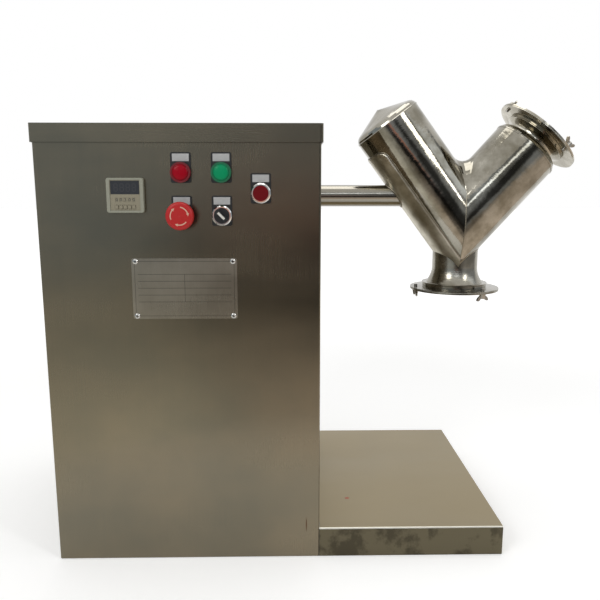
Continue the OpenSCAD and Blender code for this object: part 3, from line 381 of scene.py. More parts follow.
# %% What the cloth shows
WALL_LEFT, WALL_RIGHT = (0.92, 1.07, 1.24), (1.08, 1.15, 1.25)
FLOOR_LEFT, FLOOR_RIGHT = (1.08, 1.06, 0.96), (1.08, 0.93, 0.80)
RUST_CLOTH = (2.3, 0.95, 0.6)
FAR_LEVEL, FAR_LEFT_MORE, FAR_RIGHT_MORE = 0.3, 0.25, 0.35
WALL_LEVEL, WALL_RIGHT_LESS = 0.48, 0.14
PANEL_GLOOM, TANK_GLOOM = 0.97, 0.88
SHELF_LIGHT, HIGH_LIGHT = 3.0, 0.85
GLOOM_FROM, GLOOM_WIDTH, GLOOM_SLANT = 13, 19, -11


def window(field, low, high, edge):
    """1 between low and high, falling softly to 0 over the edge's width."""
    return field.step(low - edge, low + edge) * field.step(high + edge, high - edge)


dim = Finish("dim_cloth", Base_Color=(0.0, 0.0, 0.0), Roughness=1.0, Emission_Strength=1.0)
x, y, z = dim.axes(dim.place())
azimuth = x.math("ARCTAN2", -1 * y) * math.degrees(1)
reach = dim.length(dim.place(stretch=(1, 1, 0)))
folds = dim.noise(dim.place(stretch=(1, 1, 0.4)), 1.6, 2) * 0.6 + 0.7

on_floor = z.step(0.3, 0.02)
far_level = azimuth.step(-8, -20) * FAR_LEFT_MORE + azimuth.step(34, 46) * FAR_RIGHT_MORE + FAR_LEVEL
floor_level = reach.step(2.0, 0.85) * (1 - far_level) + far_level
wall_level = WALL_LEVEL - azimuth.step(-20, 2) * WALL_RIGHT_LESS
level = floor_level * on_floor + wall_level * (1 - on_floor)

panel_gloom = window(azimuth, -13, 17, 6) * window(z, 0.05, 0.42, 0.08)
gloom_start = z.step(0.5, 0.1) * GLOOM_SLANT + GLOOM_FROM
tank_gloom = window(azimuth - gloom_start, 0, GLOOM_WIDTH, 5) * z.step(1.45, 1.1) * reach.step(1.4, 2.0)
level = level * (1 - panel_gloom * PANEL_GLOOM) * (1 - tank_gloom * TANK_GLOOM) * folds
shelf_light = window(azimuth, -6, 15, 2) * window(z, 1.6, 1.9, 0.06) * SHELF_LIGHT
high_light = window(azimuth, 58, 90, 4) * z.step(1.3, 1.7) * HIGH_LIGHT

warm_patch = window(azimuth, -8, 10, 5) * window(z, 0.44, 0.56, 0.05)
rightward = azimuth.step(-18, 0)
wall_tint = dim.blend(rightward, WALL_LEFT, WALL_RIGHT)
cloth_tint = dim.blend(on_floor, wall_tint, dim.blend(rightward, FLOOR_LEFT, FLOOR_RIGHT))
cloth_tint = dim.blend(warm_patch, cloth_tint, RUST_CLOTH)
dim.feed("Emission Color", dim.scaled(cloth_tint, level + shelf_light + high_light))
print("cloth at", WALL_LEVEL, "of white, the floor part at", FAR_LEVEL, "or more")

# %% [markdown]
# The cloth becomes an object with its profile as the rows of a grid. It could be a real part of
# the studio for every ray, but then it would show in other views and shade the machine. So the
# camera, the shadows and the diffuse light pass through it, and only reflections meet it.

# %% The sweep as an object that only mirror rays see
sweep = add_object(grid_mesh("dim_sweep", sweep_points), dim.material)
sweep.visible_camera = False
sweep.visible_diffuse = False
sweep.visible_shadow = False
sweep.visible_transmission = False
print("sweep of", len(sweep.data.polygons), "faces")

# %% [markdown]
# The cabinet, its cover and the platform are one kind of sheet: stainless steel brushed in one
# direction. An anisotropic shader smears highlights by itself, but it has no lines to see from
# near by. The brush leaves fine parallel lines, so here the pattern is a noise that is squeezed
# across the lines and drawn out along them. The lines tilt the surface only sideways, which is
# why brushed steel smears what it reflects across the brush. Broad clouds make the steel a little
# warmer or cooler at random. Patches drawn out along X are a painted reflection: the smeared sheen
# of brushed steel, put into the colour, and the same patches also raise the roughness a little.
# The cabinet has one thin streak of rust.

# %% Brushed sheet
STEEL_COOL = (0.134, 0.128, 0.099)
STEEL_WARM = (0.236, 0.193, 0.130)
FINE, LONG = 900, 7
UPRIGHT = (FINE, FINE, LONG)
LENGTHWISE = (LONG, FINE, FINE)
BRUSH_DEPTH = 0.00005
WIPE_AND_SHEEN_STRETCH = (0.4, 1, 1)
CLOUD_SHARE, SHEEN_SHARE, LINE_SHARE = 0.45, 0.25, 0.3


def brushed_sheet(name, stretch, cool=STEEL_COOL, warm=STEEL_WARM, roughness=0.22, cloud_scale=4):
    """Brushed steel: fine lines along the axis whose stretch is small, and broad clouds.

    The colour lies between cool and warm by a weighted sum of clouds, lines and a painted sheen
    of smeared reflections, and the roughness rises with the lines and the sheen's patches.
    """
    steel = Finish(name, Metallic=1.0)
    lines = steel.noise(steel.place(stretch=stretch), 1, 3, 0.7)
    clouds = steel.noise(steel.place(), cloud_scale, 4, 0.6).step(0.25, 0.75)
    wipes_and_sheen = steel.noise(steel.place(stretch=WIPE_AND_SHEEN_STRETCH), 9, 3).step(0.28, 0.72)
    # painted reflection: the sheen share mixes smeared highlights into the colour; the same noise also
    # raises the roughness
    share = clouds * CLOUD_SHARE + wipes_and_sheen * SHEEN_SHARE + lines * LINE_SHARE
    steel.colour = steel.blend(share, cool, warm)
    steel.feed("Base Color", steel.colour)
    steel.feed("Roughness", roughness - 0.06 + lines * 0.07 + wipes_and_sheen * 0.09)
    steel.feed("Normal", steel.bump(lines, BRUSH_DEPTH, 0.5))
    return steel


STREAK_IN = 0.021
STREAK_UP = 0.058
STREAK_SIZE = (0.0014, 1.0, 0.014)
STREAK_COLOUR = (0.085, 0.035, 0.018)


def aged_cabinet():
    """The cabinet's sheet, with one thin streak of rust low down near its right edge."""
    steel = brushed_sheet("brushed_cabinet", UPRIGHT)
    shell_low, shell_high = corners("cabinet_shell")
    squeeze = tuple(1 / size for size in STREAK_SIZE)
    centre = (float(shell_high[0]) - STREAK_IN, float(shell_low[1]), STREAK_UP)
    away = steel.length(steel.place(centre=centre, stretch=squeeze))
    ragged = steel.noise(steel.place(stretch=(1, 1, 0.3)), 500, 2)
    streak = (away + ragged).step(1.5, 0.9)
    steel.feed("Base Color", steel.blend(streak * 0.8, steel.colour, STREAK_COLOUR))
    return steel


cabinet_steel = aged_cabinet()
cover_steel = brushed_sheet("brushed_cover", LENGTHWISE)
print("brushed sheets made")

# %% [markdown]
# The platform is the same sheet, with one small spot of rust and two marks of painted light: its
# front face is painted darker than its top in blotches, as painted shade, and a thin bright line
# along the bend of its top front edge is a painted highlight. The marks could be painted by hand
# on an image, but masks made from places stay sharp from near by. A spot is the distance from a
# point, turned into a mask with soft edges and roughened by a noise.

# %% The platform's sheet, with its rust and its painted shade and highlight
deck_low, deck_high = corners("base_deck")
DECK_FRONT, DECK_TOP = float(deck_low[1]), float(deck_high[2])
RUST_SPOT = (0.114, -0.112, DECK_TOP)
RUST_RADIUS = 0.0045
RUST_EDGE = 0.0009
RUST_RAGGED = 0.0015
RUST_COLOUR = (0.40, 0.10, 0.035)
SKIRT_SKIN = 0.001
HIGHLIGHT_BAND_WIDTH = 0.0022
DECK_COOL = (0.262, 0.222, 0.148)
DECK_WARM = (0.312, 0.257, 0.160)
SKIRT_SHADE_PALE = (0.125, 0.108, 0.070)
SKIRT_SHADE_DEEP = (0.070, 0.060, 0.040)
EDGE_HIGHLIGHT = (0.62, 0.60, 0.52)


def rusty_platform_with_painted_light():
    """The platform's sheet: rust on top, painted shade on its front, a painted edge highlight."""
    steel = brushed_sheet("brushed_deck", LENGTHWISE, DECK_COOL, DECK_WARM, 0.34)
    x, y, z = steel.axes(steel.place())
    # painted shade: the front face is painted darker than the top, in blotches
    front = y < DECK_FRONT + SKIRT_SKIN
    blotch = steel.noise(steel.place(stretch=(1, 1, 0.8)), 30, 4, 0.6).step(0.48, 0.62)
    shaded_skirt = steel.blend(blotch, SKIRT_SHADE_PALE, SKIRT_SHADE_DEEP)
    colour = steel.blend(front, steel.colour, shaded_skirt)
    # painted highlight: a bright band along the bend of the top front edge, standing for the light it
    # catches
    edge = (y < DECK_FRONT + HIGHLIGHT_BAND_WIDTH) * (z > DECK_TOP - HIGHLIGHT_BAND_WIDTH)
    colour = steel.blend(edge, colour, EDGE_HIGHLIGHT)
    away = steel.length(steel.place(centre=RUST_SPOT)) + steel.noise(steel.place(), 400, 2) * RUST_RAGGED
    rust = away.step(RUST_RADIUS + RUST_EDGE, RUST_RADIUS - RUST_EDGE)
    steel.feed("Base Color", steel.blend(rust, colour, RUST_COLOUR))
    steel.feed("Metallic", 1 - rust)
    return steel


deck_steel = rusty_platform_with_painted_light()
print("platform sheet made")

# %% [markdown]
# The tank is polished by hand. Its walls are mirrors, but not perfect ones: the belt leaves long
# shallow waves along each tube, and those waves break the reflections into streaks. The waves
# could be real dents in a mesh, but the solids stay as they are and a bump shows them as well.
# There are three bumps, one on the other: broad waves, shallow dents and the belt's scratches.
# The arms lean 37 and 42 degrees from upright, and the waves lean with them.

# %% Polished steel
POLISHED_LOW = (0.185, 0.168, 0.128)
POLISHED_HIGH = (0.35, 0.33, 0.28)
LEFT_LEAN = math.radians(37)
RIGHT_LEAN = math.radians(42)
ALONG_TUBE, DENT_STRETCH = (1, 1, 0.1), (0.5, 0.5, 1)
WAVE_SCALE, DENT_SCALE, SCRATCH_SCALE = 42, 62, 700
WAVE_DEPTH, DENT_DEPTH, SCRATCH_DEPTH = 0.0028, 0.0009, 0.00002
MIRROR_ROUGHNESS = 0.07


def shaded(colour, share):
    """A colour with each of its numbers scaled."""
    return tuple(share * c for c in colour)


def polished_steel(name, lean=0.0, waves=1.0, painted_light_share=1.0, dullness=0.0):
    """Hand-polished steel, with its polishing waves along an axis that leans about Y.

    The waves share scales the waves and dents, painted_light_share scales the colour to paint one
    part lighter or darker as painted light, and dullness is added to the roughness.
    """
    steel = Finish(name, Metallic=1.0)
    along = steel.place(turn=(0, lean, 0), stretch=ALONG_TUBE)
    across = steel.place(turn=(0, lean, 0), stretch=DENT_STRETCH)
    ripples = steel.noise(along, WAVE_SCALE, 2, 0.45)
    dents = steel.noise(across, DENT_SCALE, 3, 0.55)
    scratches = steel.noise(along, SCRATCH_SCALE, 2, 0.6)
    smudge = steel.noise(steel.place(), 19, 4, 0.6)
    # painted light: the share makes the whole colour of one part lighter or darker
    low, high = shaded(POLISHED_LOW, painted_light_share), shaded(POLISHED_HIGH, painted_light_share)
    steel.feed("Base Color", steel.blend(smudge.step(0.33, 0.67), low, high))
    rough = scratches * 0.05 + smudge.step(0.5, 0.75) * 0.1
    steel.feed("Roughness", MIRROR_ROUGHNESS + dullness + rough)
    broad = steel.bump(ripples, WAVE_DEPTH * waves, 0.35)
    dented = steel.bump(dents, DENT_DEPTH * waves, 0.35, broad)
    steel.feed("Normal", steel.bump(scratches, SCRATCH_DEPTH, 0.4, dented))
    return steel


left_polish = polished_steel("polished_left", LEFT_LEAN)
right_polish = polished_steel("polished_right", -RIGHT_LEAN)
# painted light: the saddle plate and the feed port are lighter copies of the polished steel, and the
# outlet a slightly darker one
saddle_satin = polished_steel("satin_saddle", LEFT_LEAN, waves=0.5, painted_light_share=2.2, dullness=0.26)
feed_polish = polished_steel("polished_feed", -RIGHT_LEAN, waves=0.7, painted_light_share=1.5, dullness=0.05)
outlet_polish = polished_steel("polished_outlet", waves=0.7, painted_light_share=0.95, dullness=0.1)
print("polished finishes made")

# %% [markdown]
# The other finishes are simpler: turned steel with rings around the shaft, satin cast wing
# screws, painted castings, moulded plastics. One flat colour would look like none of them, so
# each has the grain that its making leaves: two noises, one fine and one ten times broader.


# %% How turned steel and grained skins are made
def turned_steel(name, colour, roughness):
    """Steel turned on a lathe: fine rings across the X axis."""
    steel = Finish(name, Metallic=1.0)
    rings = steel.noise(steel.place(stretch=(1, 0.02, 0.02)), 1500, 2, 0.6)
    steel.feed("Base Color", steel.blend(rings, shaded(colour, 0.8), colour))
    steel.feed("Roughness", roughness + rings * 0.06)
    steel.feed("Normal", steel.bump(rings, SCRATCH_DEPTH, 0.4))
    return steel


def grained(name, colour, roughness, grain_size, depth, tint=0.85, **shader_values):
    """A moulded, cast or painted skin: one colour with a fine grain of the given size."""
    skin = Finish(name, **shader_values)
    grain = skin.noise(skin.place(), 1 / grain_size, 3, 0.6)
    broad = skin.noise(skin.place(), 0.1 / grain_size, 2)
    skin.colour = skin.blend(grain * 0.4 + broad * 0.6, shaded(colour, tint), colour)
    skin.feed("Base Color", skin.colour)
    skin.feed("Roughness", roughness - 0.05 + grain * 0.1)
    skin.feed("Normal", skin.bump(grain, depth, 0.5))
    return skin


print("two kinds of plain finish")

# %% [markdown]
# Each plain finish is one line: its colour, its roughness, the size of its grain in metres and
# how deep the grain is. Zinc and paint have the coarsest grain and plastics the finest, and that
# of chrome is so shallow that it stays a mirror.

# %% Turned, cast, painted and moulded finishes
shaft_steel = turned_steel("ground_shaft", (0.30, 0.28, 0.235), 0.14)
ring_steel = turned_steel("turned_ring", (0.40, 0.39, 0.36), 0.22)
cast_satin = grained("satin_cast", (0.34, 0.32, 0.28), 0.34, 0.0008, 0.00006, Metallic=1.0)
bolt_steel = grained("bright_bolts", (0.48, 0.47, 0.43), 0.3, 0.0006, 0.00003, Metallic=1.0)
zinc = grained("zinc_plate", (0.42, 0.43, 0.42), 0.38, 0.004, 0.00003, Metallic=1.0)
chrome = grained("bright_chrome", (0.66, 0.65, 0.62), 0.07, 0.002, 0.00001, Metallic=1.0)
dark_paint = grained("dark_paint", (0.045, 0.048, 0.05), 0.45, 0.002, 0.00008)
enamel = grained("drive_enamel", (0.06, 0.095, 0.125), 0.38, 0.003, 0.0002)
black_plastic = grained("black_plastic", (0.016, 0.016, 0.016), 0.42, 0.0006, 0.00004)
legend_black = grained("legend_black", (0.012, 0.012, 0.012), 0.35, 0.0006, 0.00002)
timer_grey = grained("timer_grey", (0.27, 0.27, 0.21), 0.45, 0.0006, 0.00003)
ivory = grained("ivory_plastic", (0.235, 0.21, 0.145), 0.45, 0.0006, 0.00003, tint=0.92)
grey_plastic = grained("grey_plastic", (0.30, 0.31, 0.30), 0.5, 0.0006, 0.00003)
button_red = grained("button_red", (0.135, 0.003, 0.006), 0.4, 0.0008, 0.00002,
                     Specular_IOR_Level=0.12)
silicone = grained("silicone", (0.62, 0.62, 0.56), 0.6, 0.001, 0.00003)
weld_metal = grained("weld_metal", (0.30, 0.265, 0.20), 0.3, 0.0015, 0.0001, 0.6, Metallic=1.0)
ink = grained("dark_ink", (0.03, 0.028, 0.025), 0.6, 0.0004, 0.00001)
print("plain finishes made")

# %% [markdown]
# The legend plates hold inserts of silvery card behind clear plastic, which is only partly a
# metal to the eye. The brushed sheet's function makes it, with lines across and little metal.

# %% Silvery inserts
SILVER_COOL, SILVER_WARM = (0.36, 0.36, 0.355), (0.44, 0.44, 0.43)
SILVER_LINES = (60, 60, 3000)
silver = brushed_sheet("legend_silver", SILVER_LINES, SILVER_COOL, SILVER_WARM, 0.4, 60)
silver.feed("Metallic", 0.25)
print("inserts silvered")

# %% [markdown]
# A pilot light's lens is a shallow dome with fine ribs inside, which catch the light as rings. A
# glass shader would need a lamp behind it, and these lights are off, so a glossy coloured skin is
# closer. The rings are a wave of the distance from the lens's own centre line. The colour deepens
# towards the rim, where the plastic is thicker.


# %% Lens finishes
RED_LIGHT = (0.28, 0.002, 0.010)
GREEN_LIGHT = (0.004, 0.235, 0.095)
RIB_PITCH = 0.0012
RIB_DEPTH = 0.0002
ACROSS_PANEL = (1, 0, 1)
DEEP_FROM, DEEP_TO = 0.008, 0.0125


def lens_finish(node_name, colour):
    """Translucent-looking plastic with circular ribs about the lens's centre line."""
    lens = Finish(node_name, Roughness=0.22, Specular_IOR_Level=0.1)
    radius = lens.length(lens.place(centre=middle(node_name), stretch=ACROSS_PANEL))
    ribs = (radius * (2 * math.pi / RIB_PITCH)).math("SINE") * 0.5 + 0.5
    lens.feed("Base Color", lens.blend(radius.step(DEEP_FROM, DEEP_TO), colour, shaded(colour, 0.6)))
    lens.feed("Normal", lens.bump(ribs, RIB_DEPTH, 0.2))
    return lens


red_lens = lens_finish("red_lens", RED_LIGHT)
green_lens = lens_finish("green_lens", GREEN_LIGHT)
print("lenses made")

# %% [markdown]
# The switches behind the lenses are black plastic, and the ring that holds a lens takes on its
# colour, because light leaks sideways through the lens. Two more materials could do it, but the
# bodies are one node, so a mask picks each ring: near a lens's centre line and before the panel.

# %% The switches' black bodies
RING_REACH = 0.018
PANEL_SKIN = 0.0005


def pilot_rings():
    """Black switch bodies, whose front rings are tinted like the lens that they hold."""
    rings = grained("switch_black", (0.016, 0.016, 0.016), 0.4, 0.0006, 0.00004)
    x, y, z = rings.axes(rings.place())
    colour = rings.colour
    plate_front = float(corners("legend_plates")[0, 1])
    for lens, light in (("red_lens", RED_LIGHT), ("green_lens", GREEN_LIGHT)):
        away = rings.length(rings.place(centre=middle(lens), stretch=ACROSS_PANEL))
        tinted = (away < RING_REACH) * (y < plate_front + PANEL_SKIN)
        colour = rings.blend(tinted, colour, shaded(light, 0.5))
    rings.feed("Base Color", colour)
    return rings


switch_black = pilot_rings()
print("switch bodies made")

# %% [markdown]
# The emergency stop carries three pale arrows that show which way to turn it free. Thin pieces
# of mesh could lie on the cap, but the real arrows are printed, so they belong in its finish. An
# arrow is a band between two radii, cut into thirds by the angle, and it widens to a head at the
# end that leads.

# %% The emergency stop's arrows
ARROWS = 3
ARROW_RADIUS = 0.0128
ARROW_HALF_WIDTH = 0.0008
HEAD_HALF_WIDTH = 0.0021
HEAD_SHARE = 0.16
TAIL_SHARE = 0.68
ARROW_COLOUR = (0.55, 0.34, 0.25)


def arrowed_red():
    """Red plastic with three arrows that run clockwise round its centre."""
    red = grained("stop_red", (0.42, 0.014, 0.014), 0.36, 0.0008, 0.00002, 0.9,
                  Specular_IOR_Level=0.3)
    centre = middle("estop_mushroom")
    x, y, z = red.axes(red.place(centre=centre))
    radius = red.length(red.place(centre=centre, stretch=ACROSS_PANEL))
    third = (z.math("ARCTAN2", x) * (ARROWS / (2 * math.pi)) + 1).math("FRACT")
    off_line = (radius - ARROW_RADIUS).abs()
    head = (off_line < third * (HEAD_HALF_WIDTH / HEAD_SHARE)) * (third < HEAD_SHARE)
    tail = (off_line < ARROW_HALF_WIDTH) * (third > HEAD_SHARE) * (third < TAIL_SHARE)
    on_face = y < 0
    red.feed("Base Color", red.blend((head + tail) * on_face, red.colour, ARROW_COLOUR))
    return red


stop_red = arrowed_red()
print(ARROWS, "arrows at radius", ARROW_RADIUS)

# %% [markdown]
# The selector's knob is black with a short white bar let into its grip. The solid has the
# groove, and the paint in it is a mask: a rectangle turned with the knob. Making the place turn
# before the mask is worked out is shorter than turning the mask's four edges.

# %% The selector's white bar
POINTER_TURN = math.radians(45)
POINTER_HALF = (0.0017, 0.0067)
POINTER_DEPTH = 0.0009
POINTER_WHITE = (0.62, 0.60, 0.55)


def pointed_black():
    """Black plastic with a white bar in the groove of the grip."""
    black = grained("selector_black", (0.014, 0.014, 0.014), 0.32, 0.0006, 0.00003)
    centre = middle("selector_knob")
    tip = (centre[0], float(corners("selector_knob")[0, 1]), centre[2])
    x, y, z = black.axes(black.place(turn=(0, POINTER_TURN, 0), centre=tip))
    bar = (x.abs() < POINTER_HALF[0]) * (z.abs() < POINTER_HALF[1]) * (y < POINTER_DEPTH)
    black.feed("Base Color", black.blend(bar, black.colour, POINTER_WHITE))
    return black


selector_black = pointed_black()
print("selector bar", 2 * POINTER_HALF[1], "m long")

# %% [markdown]
# The nameplate is thin brushed aluminium with the ruled lines of a table: a frame, rows and a
# middle line. Each line is a band in the distance from a height or from a side, and the plate is
# the same on both sides of its middle, so absolute values draw two lines at a time. The plate's
# four screws have cross recesses, and one mask paints the shade in them as a dark cross, four
# times in the same way.

# %% The nameplate and its screws
PLATE_WIDE, PLATE_TALL = (float(v) for v in np.ptp(corners("nameplate"), axis=0)[[0, 2]])
PLATE_COOL, PLATE_WARM = (0.225, 0.200, 0.155), (0.375, 0.340, 0.275)
FRAME_IN = 0.0045
RULE_WIDTH = 0.00032
ROW_HEIGHTS = (0.022, 0.0115, 0.001, -0.0095, -0.020)
INK = (0.035, 0.032, 0.028)
SCREW_AT = (0.0728, 0.0415)
SLOT_HALF = (0.0021, 0.0004)
SLOT_SHADE = (0.05, 0.05, 0.045)


def ruled_plate():
    """Brushed aluminium with a ruled frame, rows and a middle line."""
    plate = brushed_sheet("nameplate", (900, 900, 9), PLATE_COOL, PLATE_WARM, 0.28, 16)
    x, y, z = plate.axes(plate.place(centre=middle("nameplate")))
    across, up = x.abs(), z.abs()
    wide, tall = PLATE_WIDE / 2 - FRAME_IN, PLATE_TALL / 2 - FRAME_IN
    frame_lines = ((across - wide).abs() < RULE_WIDTH) * (up < tall)
    frame_lines = frame_lines + ((up - tall).abs() < RULE_WIDTH) * (across < wide)
    rows = (across < RULE_WIDTH) * (z < ROW_HEIGHTS[0]) * (z > ROW_HEIGHTS[-1])
    for height in ROW_HEIGHTS:
        rows = rows + ((z - height).abs() < RULE_WIDTH)
    rows = rows * (across < wide - FRAME_IN)
    lines = (frame_lines + rows).clamp()
    plate.feed("Base Color", plate.blend(lines * 0.7, plate.colour, INK))
    return plate


def crossed_screws():
    """Bright pan screws; the nameplate's have painted shade in the cross of their heads."""
    screws = grained("pan_screws", (0.52, 0.51, 0.48), 0.22, 0.0006, 0.00002, Metallic=1.0)
    x, y, z = screws.axes(screws.place(centre=middle("nameplate")))
    across, up = (x.abs() - SCREW_AT[0]).abs(), (z.abs() - SCREW_AT[1]).abs()
    # painted shade: the cross recess in each nameplate screw is painted dark
    cross = (across < SLOT_HALF[0]) * (up < SLOT_HALF[1])
    cross = cross + (across < SLOT_HALF[1]) * (up < SLOT_HALF[0])
    cross = cross.clamp() * (y < 0)
    screws.feed("Base Color", screws.blend(cross, screws.colour, SLOT_SHADE))
    return screws


nameplate = ruled_plate()
pan_screws = crossed_screws()
print("nameplate ruled with", len(ROW_HEIGHTS), "rows")

# %% [markdown]
# The timer's window is smoked plastic. Behind it the switched-off digits show faintly: each is
# seven bars, and the fraction of a number repeats one digit across the window without a loop.
# Only the distance from the digit's middle matters, because a figure eight is the same on both
# sides.

# %% The timer's dark display
DIGITS = 4
DIGIT_PITCH = 0.0088
DIGIT_HALF = (0.0024, 0.0052)
BAR_HALF = 0.00045
SMOKE, SMOKE_BAR = (0.020, 0.020, 0.022), (0.048, 0.046, 0.046)


def unlit_display():
    """Smoked plastic with faint figure eights behind it."""
    smoked = Finish("smoked_window", Roughness=0.12)
    x, y, z = smoked.axes(smoked.place(centre=middle("timer_window")))
    across = ((x * (1 / DIGIT_PITCH)).math("FRACT") - 0.5).abs() * DIGIT_PITCH
    up = z.abs()
    level_bars = (up < BAR_HALF) + ((up - DIGIT_HALF[1]).abs() < BAR_HALF)
    level_bars = level_bars * (across < DIGIT_HALF[0] - BAR_HALF)
    upright = (across - DIGIT_HALF[0]).abs() < BAR_HALF
    upright = upright * ((up - DIGIT_HALF[1] / 2).abs() < DIGIT_HALF[1] / 2 - BAR_HALF)
    haze = smoked.noise(smoked.place(), 180, 2)
    bars = (level_bars + upright) * (x.abs() < DIGITS / 2 * DIGIT_PITCH) * 0.8 + haze * 0.2
    smoked.feed("Base Color", smoked.blend(bars, SMOKE, SMOKE_BAR))
    return smoked


smoked = unlit_display()
print("display of", DIGITS, "digits")

# %% [markdown]
# Every CAD node now gets its finish. Each could be given its own where the finish is made, but a
# table of names keeps this in one place, and the printed count shows whether a node is left out.

# %% Finishes onto the CAD nodes
FINISHES = {
    cabinet_steel: ["cabinet_shell", "rear_panel"],
    cover_steel: ["top_cover"],
    deck_steel: ["base_deck"],
    dark_paint: ["base_frame", "cabinet_frame", "drive_shelf", "gearbox_bracket", "fan_cowl"],
    enamel: ["bearing_housings", "gearbox_housing", "motor_body"],
    bolt_steel: ["drive_bolts"],
    pan_screws: ["panel_screws"],
    zinc: ["electrical_plate"],
    shaft_steel: ["main_shaft"],
    ring_steel: ["shaft_key", "bearing_rings", "output_sleeve"],
    left_polish: ["left_arm", "left_head"],
    saddle_satin: ["saddle_plate"],
    right_polish: ["right_arm", "right_head", "crotch_fillet"],
    feed_polish: ["feed_neck", "feed_lid"],
    outlet_polish: ["outlet_neck", "outlet_lid"],
    cast_satin: [f"{port}_screw_{i}" for port in ("feed", "outlet") for i in (1, 2, 3)],
    silicone: ["gaskets"],
    black_plastic: ["cable_gland", "lock_nuts", "estop_stem"],
    switch_black: ["switch_bodies"],
    selector_black: ["selector_knob"],
    legend_black: ["legend_plates"],
    silver: ["legend_inserts"],
    chrome: ["control_bezels"],
    stop_red: ["estop_mushroom"],
    button_red: ["push_button"],
    red_lens: ["red_lens"],
    green_lens: ["green_lens"],
    timer_grey: ["timer_case"],
    ivory: ["timer_fascia"] + [f"timer_key_{i}" for i in range(1, 6)],
    grey_plastic: ["contactor", "terminal_blocks", "contact_blocks"],
    smoked: ["timer_window"],
    nameplate: ["nameplate"],
}
for finish, names in FINISHES.items():
    for name in names:
        nodes[name].data.materials.clear()
        nodes[name].data.materials.append(finish.material)
print("finished", sum(len(names) for names in FINISHES.values()), "of", len(nodes), "CAD nodes")

# %% [markdown]
# The tank was welded together from rolled tubes, and its welds still show. A bump would be too
# flat for them at the silhouette, so they are pieces: a bead of weld is a small ring carried
# along a path, flattened towards the wall. Its size swells and shrinks in ripples, as a welder's
# hand leaves them, and it closes to a point where it ends.

# %% Beads of weld
RIPPLE = 0.0032
RIPPLE_SHARE = 0.12
BEAD_SIDES = 10
BEAD_RISE = 0.5


def weld_bead(name, path, outward, width, body, closed=False):
    """A rippled bead: at each point of the path an ellipse stands across it, half as high as wide.

    The ellipse's axes are the outward direction of the wall and the cross product of that with
    the path's own direction. Its size is the width times one plus a small sine of the distance
    gone along the path. Near an open end it shrinks with the root of the distance left.
    """
    ahead = np.roll(path, -1, 0) - np.roll(path, 1, 0) if closed else np.gradient(path, axis=0)
    along = unit(ahead)
    up = unit(outward - (outward * along).sum(-1, keepdims=True) * along)
    sideways = np.cross(along, up)
    gone = np.concatenate([[0], np.cumsum(np.linalg.norm(np.diff(path, axis=0), axis=1))])
    size = width / 2 * (1 + RIPPLE_SHARE * np.sin(2 * math.pi * gone / RIPPLE))
    if not closed:
        size = size * np.sqrt(np.clip(np.minimum(gone, gone[-1] - gone) / width, 0, 1))
    angle = np.linspace(0, 2 * math.pi, BEAD_SIDES, endpoint=False)[None, :, None]
    ring = np.cos(angle) * sideways[:, None] + BEAD_RISE * np.sin(angle) * up[:, None]
    mesh = grid_mesh(name, path[:, None] + size[:, None, None] * ring, closed, True)
    close_up(mesh)
    bead = add_object(mesh, weld_metal.material)
    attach(bead, body)
    return bead


def arm_axes(lean):
    """The direction of an arm that leans about Y, and the sideways direction square to it."""
    return (np.array((math.sin(lean), 0, math.cos(lean))),
            np.array((math.cos(lean), 0, -math.sin(lean))))


print("bead helper ready")

# %% [markdown]
# The arms meet in one plane. Their seam could be found by cutting one mesh with the other, but
# two equal tubes meet in an ellipse, and a formula is exact: as wide as the tube across, and
# longer along the plane by one over the sine of half the angle between the arms. The bead is
# drawn on the front and the back only, because the fillet in the crotch and the outlet below hide
# the rest. Its outward direction lies in the same plane, square to the ellipse.

# %% The seam of the V
ARM_R = float(np.ptp(corners("left_arm"), axis=0)[1] / 2)
APEX_Z = 0.5315
APEX = np.array((middle("outlet_neck")[0], 0.0, APEX_Z))
SEAM_FROM, SEAM_TO = 60, 138
SEAM_WIDTH = 0.0018

left_along, left_across = arm_axes(-LEFT_LEAN)
right_across = arm_axes(RIGHT_LEAN)[1]
seam_up = arm_axes((RIGHT_LEAN - LEFT_LEAN) / 2)[0]
half_angle = (RIGHT_LEAN + LEFT_LEAN) / 2
for side_name, sign in (("front", -1), ("back", 1)):
    angle = np.radians(np.linspace(SEAM_FROM, SEAM_TO, 240))[:, None]
    round_y = np.array((0, sign, 0)) * np.sin(angle)
    seam = APEX + ARM_R * (round_y + seam_up * np.cos(angle) / math.sin(half_angle))
    outward = round_y + seam_up * np.cos(angle) * math.sin(half_angle)
    weld_bead("seam_weld_" + side_name, seam, outward, SEAM_WIDTH, "drum")
print("seam welded, arm radius", round(ARM_R, 4))

# %% [markdown]
# The outlet's weld runs where its upright tube meets the undersides of the arms. It dips and rises
# round the tube, so a plain ring would miss the wall. At each point of the tube's circle the wall
# of either arm is at a known height: the place where the distance from the arm's middle line is
# its radius. The higher of the two heights counts, because that is where the tube reaches the
# tank.

# %% The weld of the outlet
OUTLET_NECK_D = 0.0815
OUTLET_R = OUTLET_NECK_D / 2
OUTLET_WELD_WIDTH = 0.0032
OUTLET_WELD_FALL = 0.6

angle = np.linspace(0, 2 * math.pi, 400, endpoint=False)
x, y = OUTLET_R * np.cos(angle), OUTLET_R * np.sin(angle)
depth = np.sqrt(ARM_R ** 2 - y ** 2)
left_wall = (-depth - x * left_across[0]) / left_across[2]
right_wall = (depth - x * right_across[0]) / right_across[2]
circle = np.stack([x, y, np.maximum(left_wall, right_wall)], axis=-1)
radial = np.stack([np.cos(angle), np.sin(angle), np.full_like(angle, -OUTLET_WELD_FALL)], axis=-1)
weld_bead("outlet_weld", APEX + circle, radial, OUTLET_WELD_WIDTH, "drum", closed=True)
print("outlet welded at radius", OUTLET_R)

# %% [markdown]
# The shaft is welded to the saddle plate on the closed arm. A flat ring would stand off the plate
# on two sides, so the weld is a circle about the shaft, pushed along it to the curved face: for
# each point of the circle, the X at which the distance from the arm's middle line is the plate's
# outer radius.

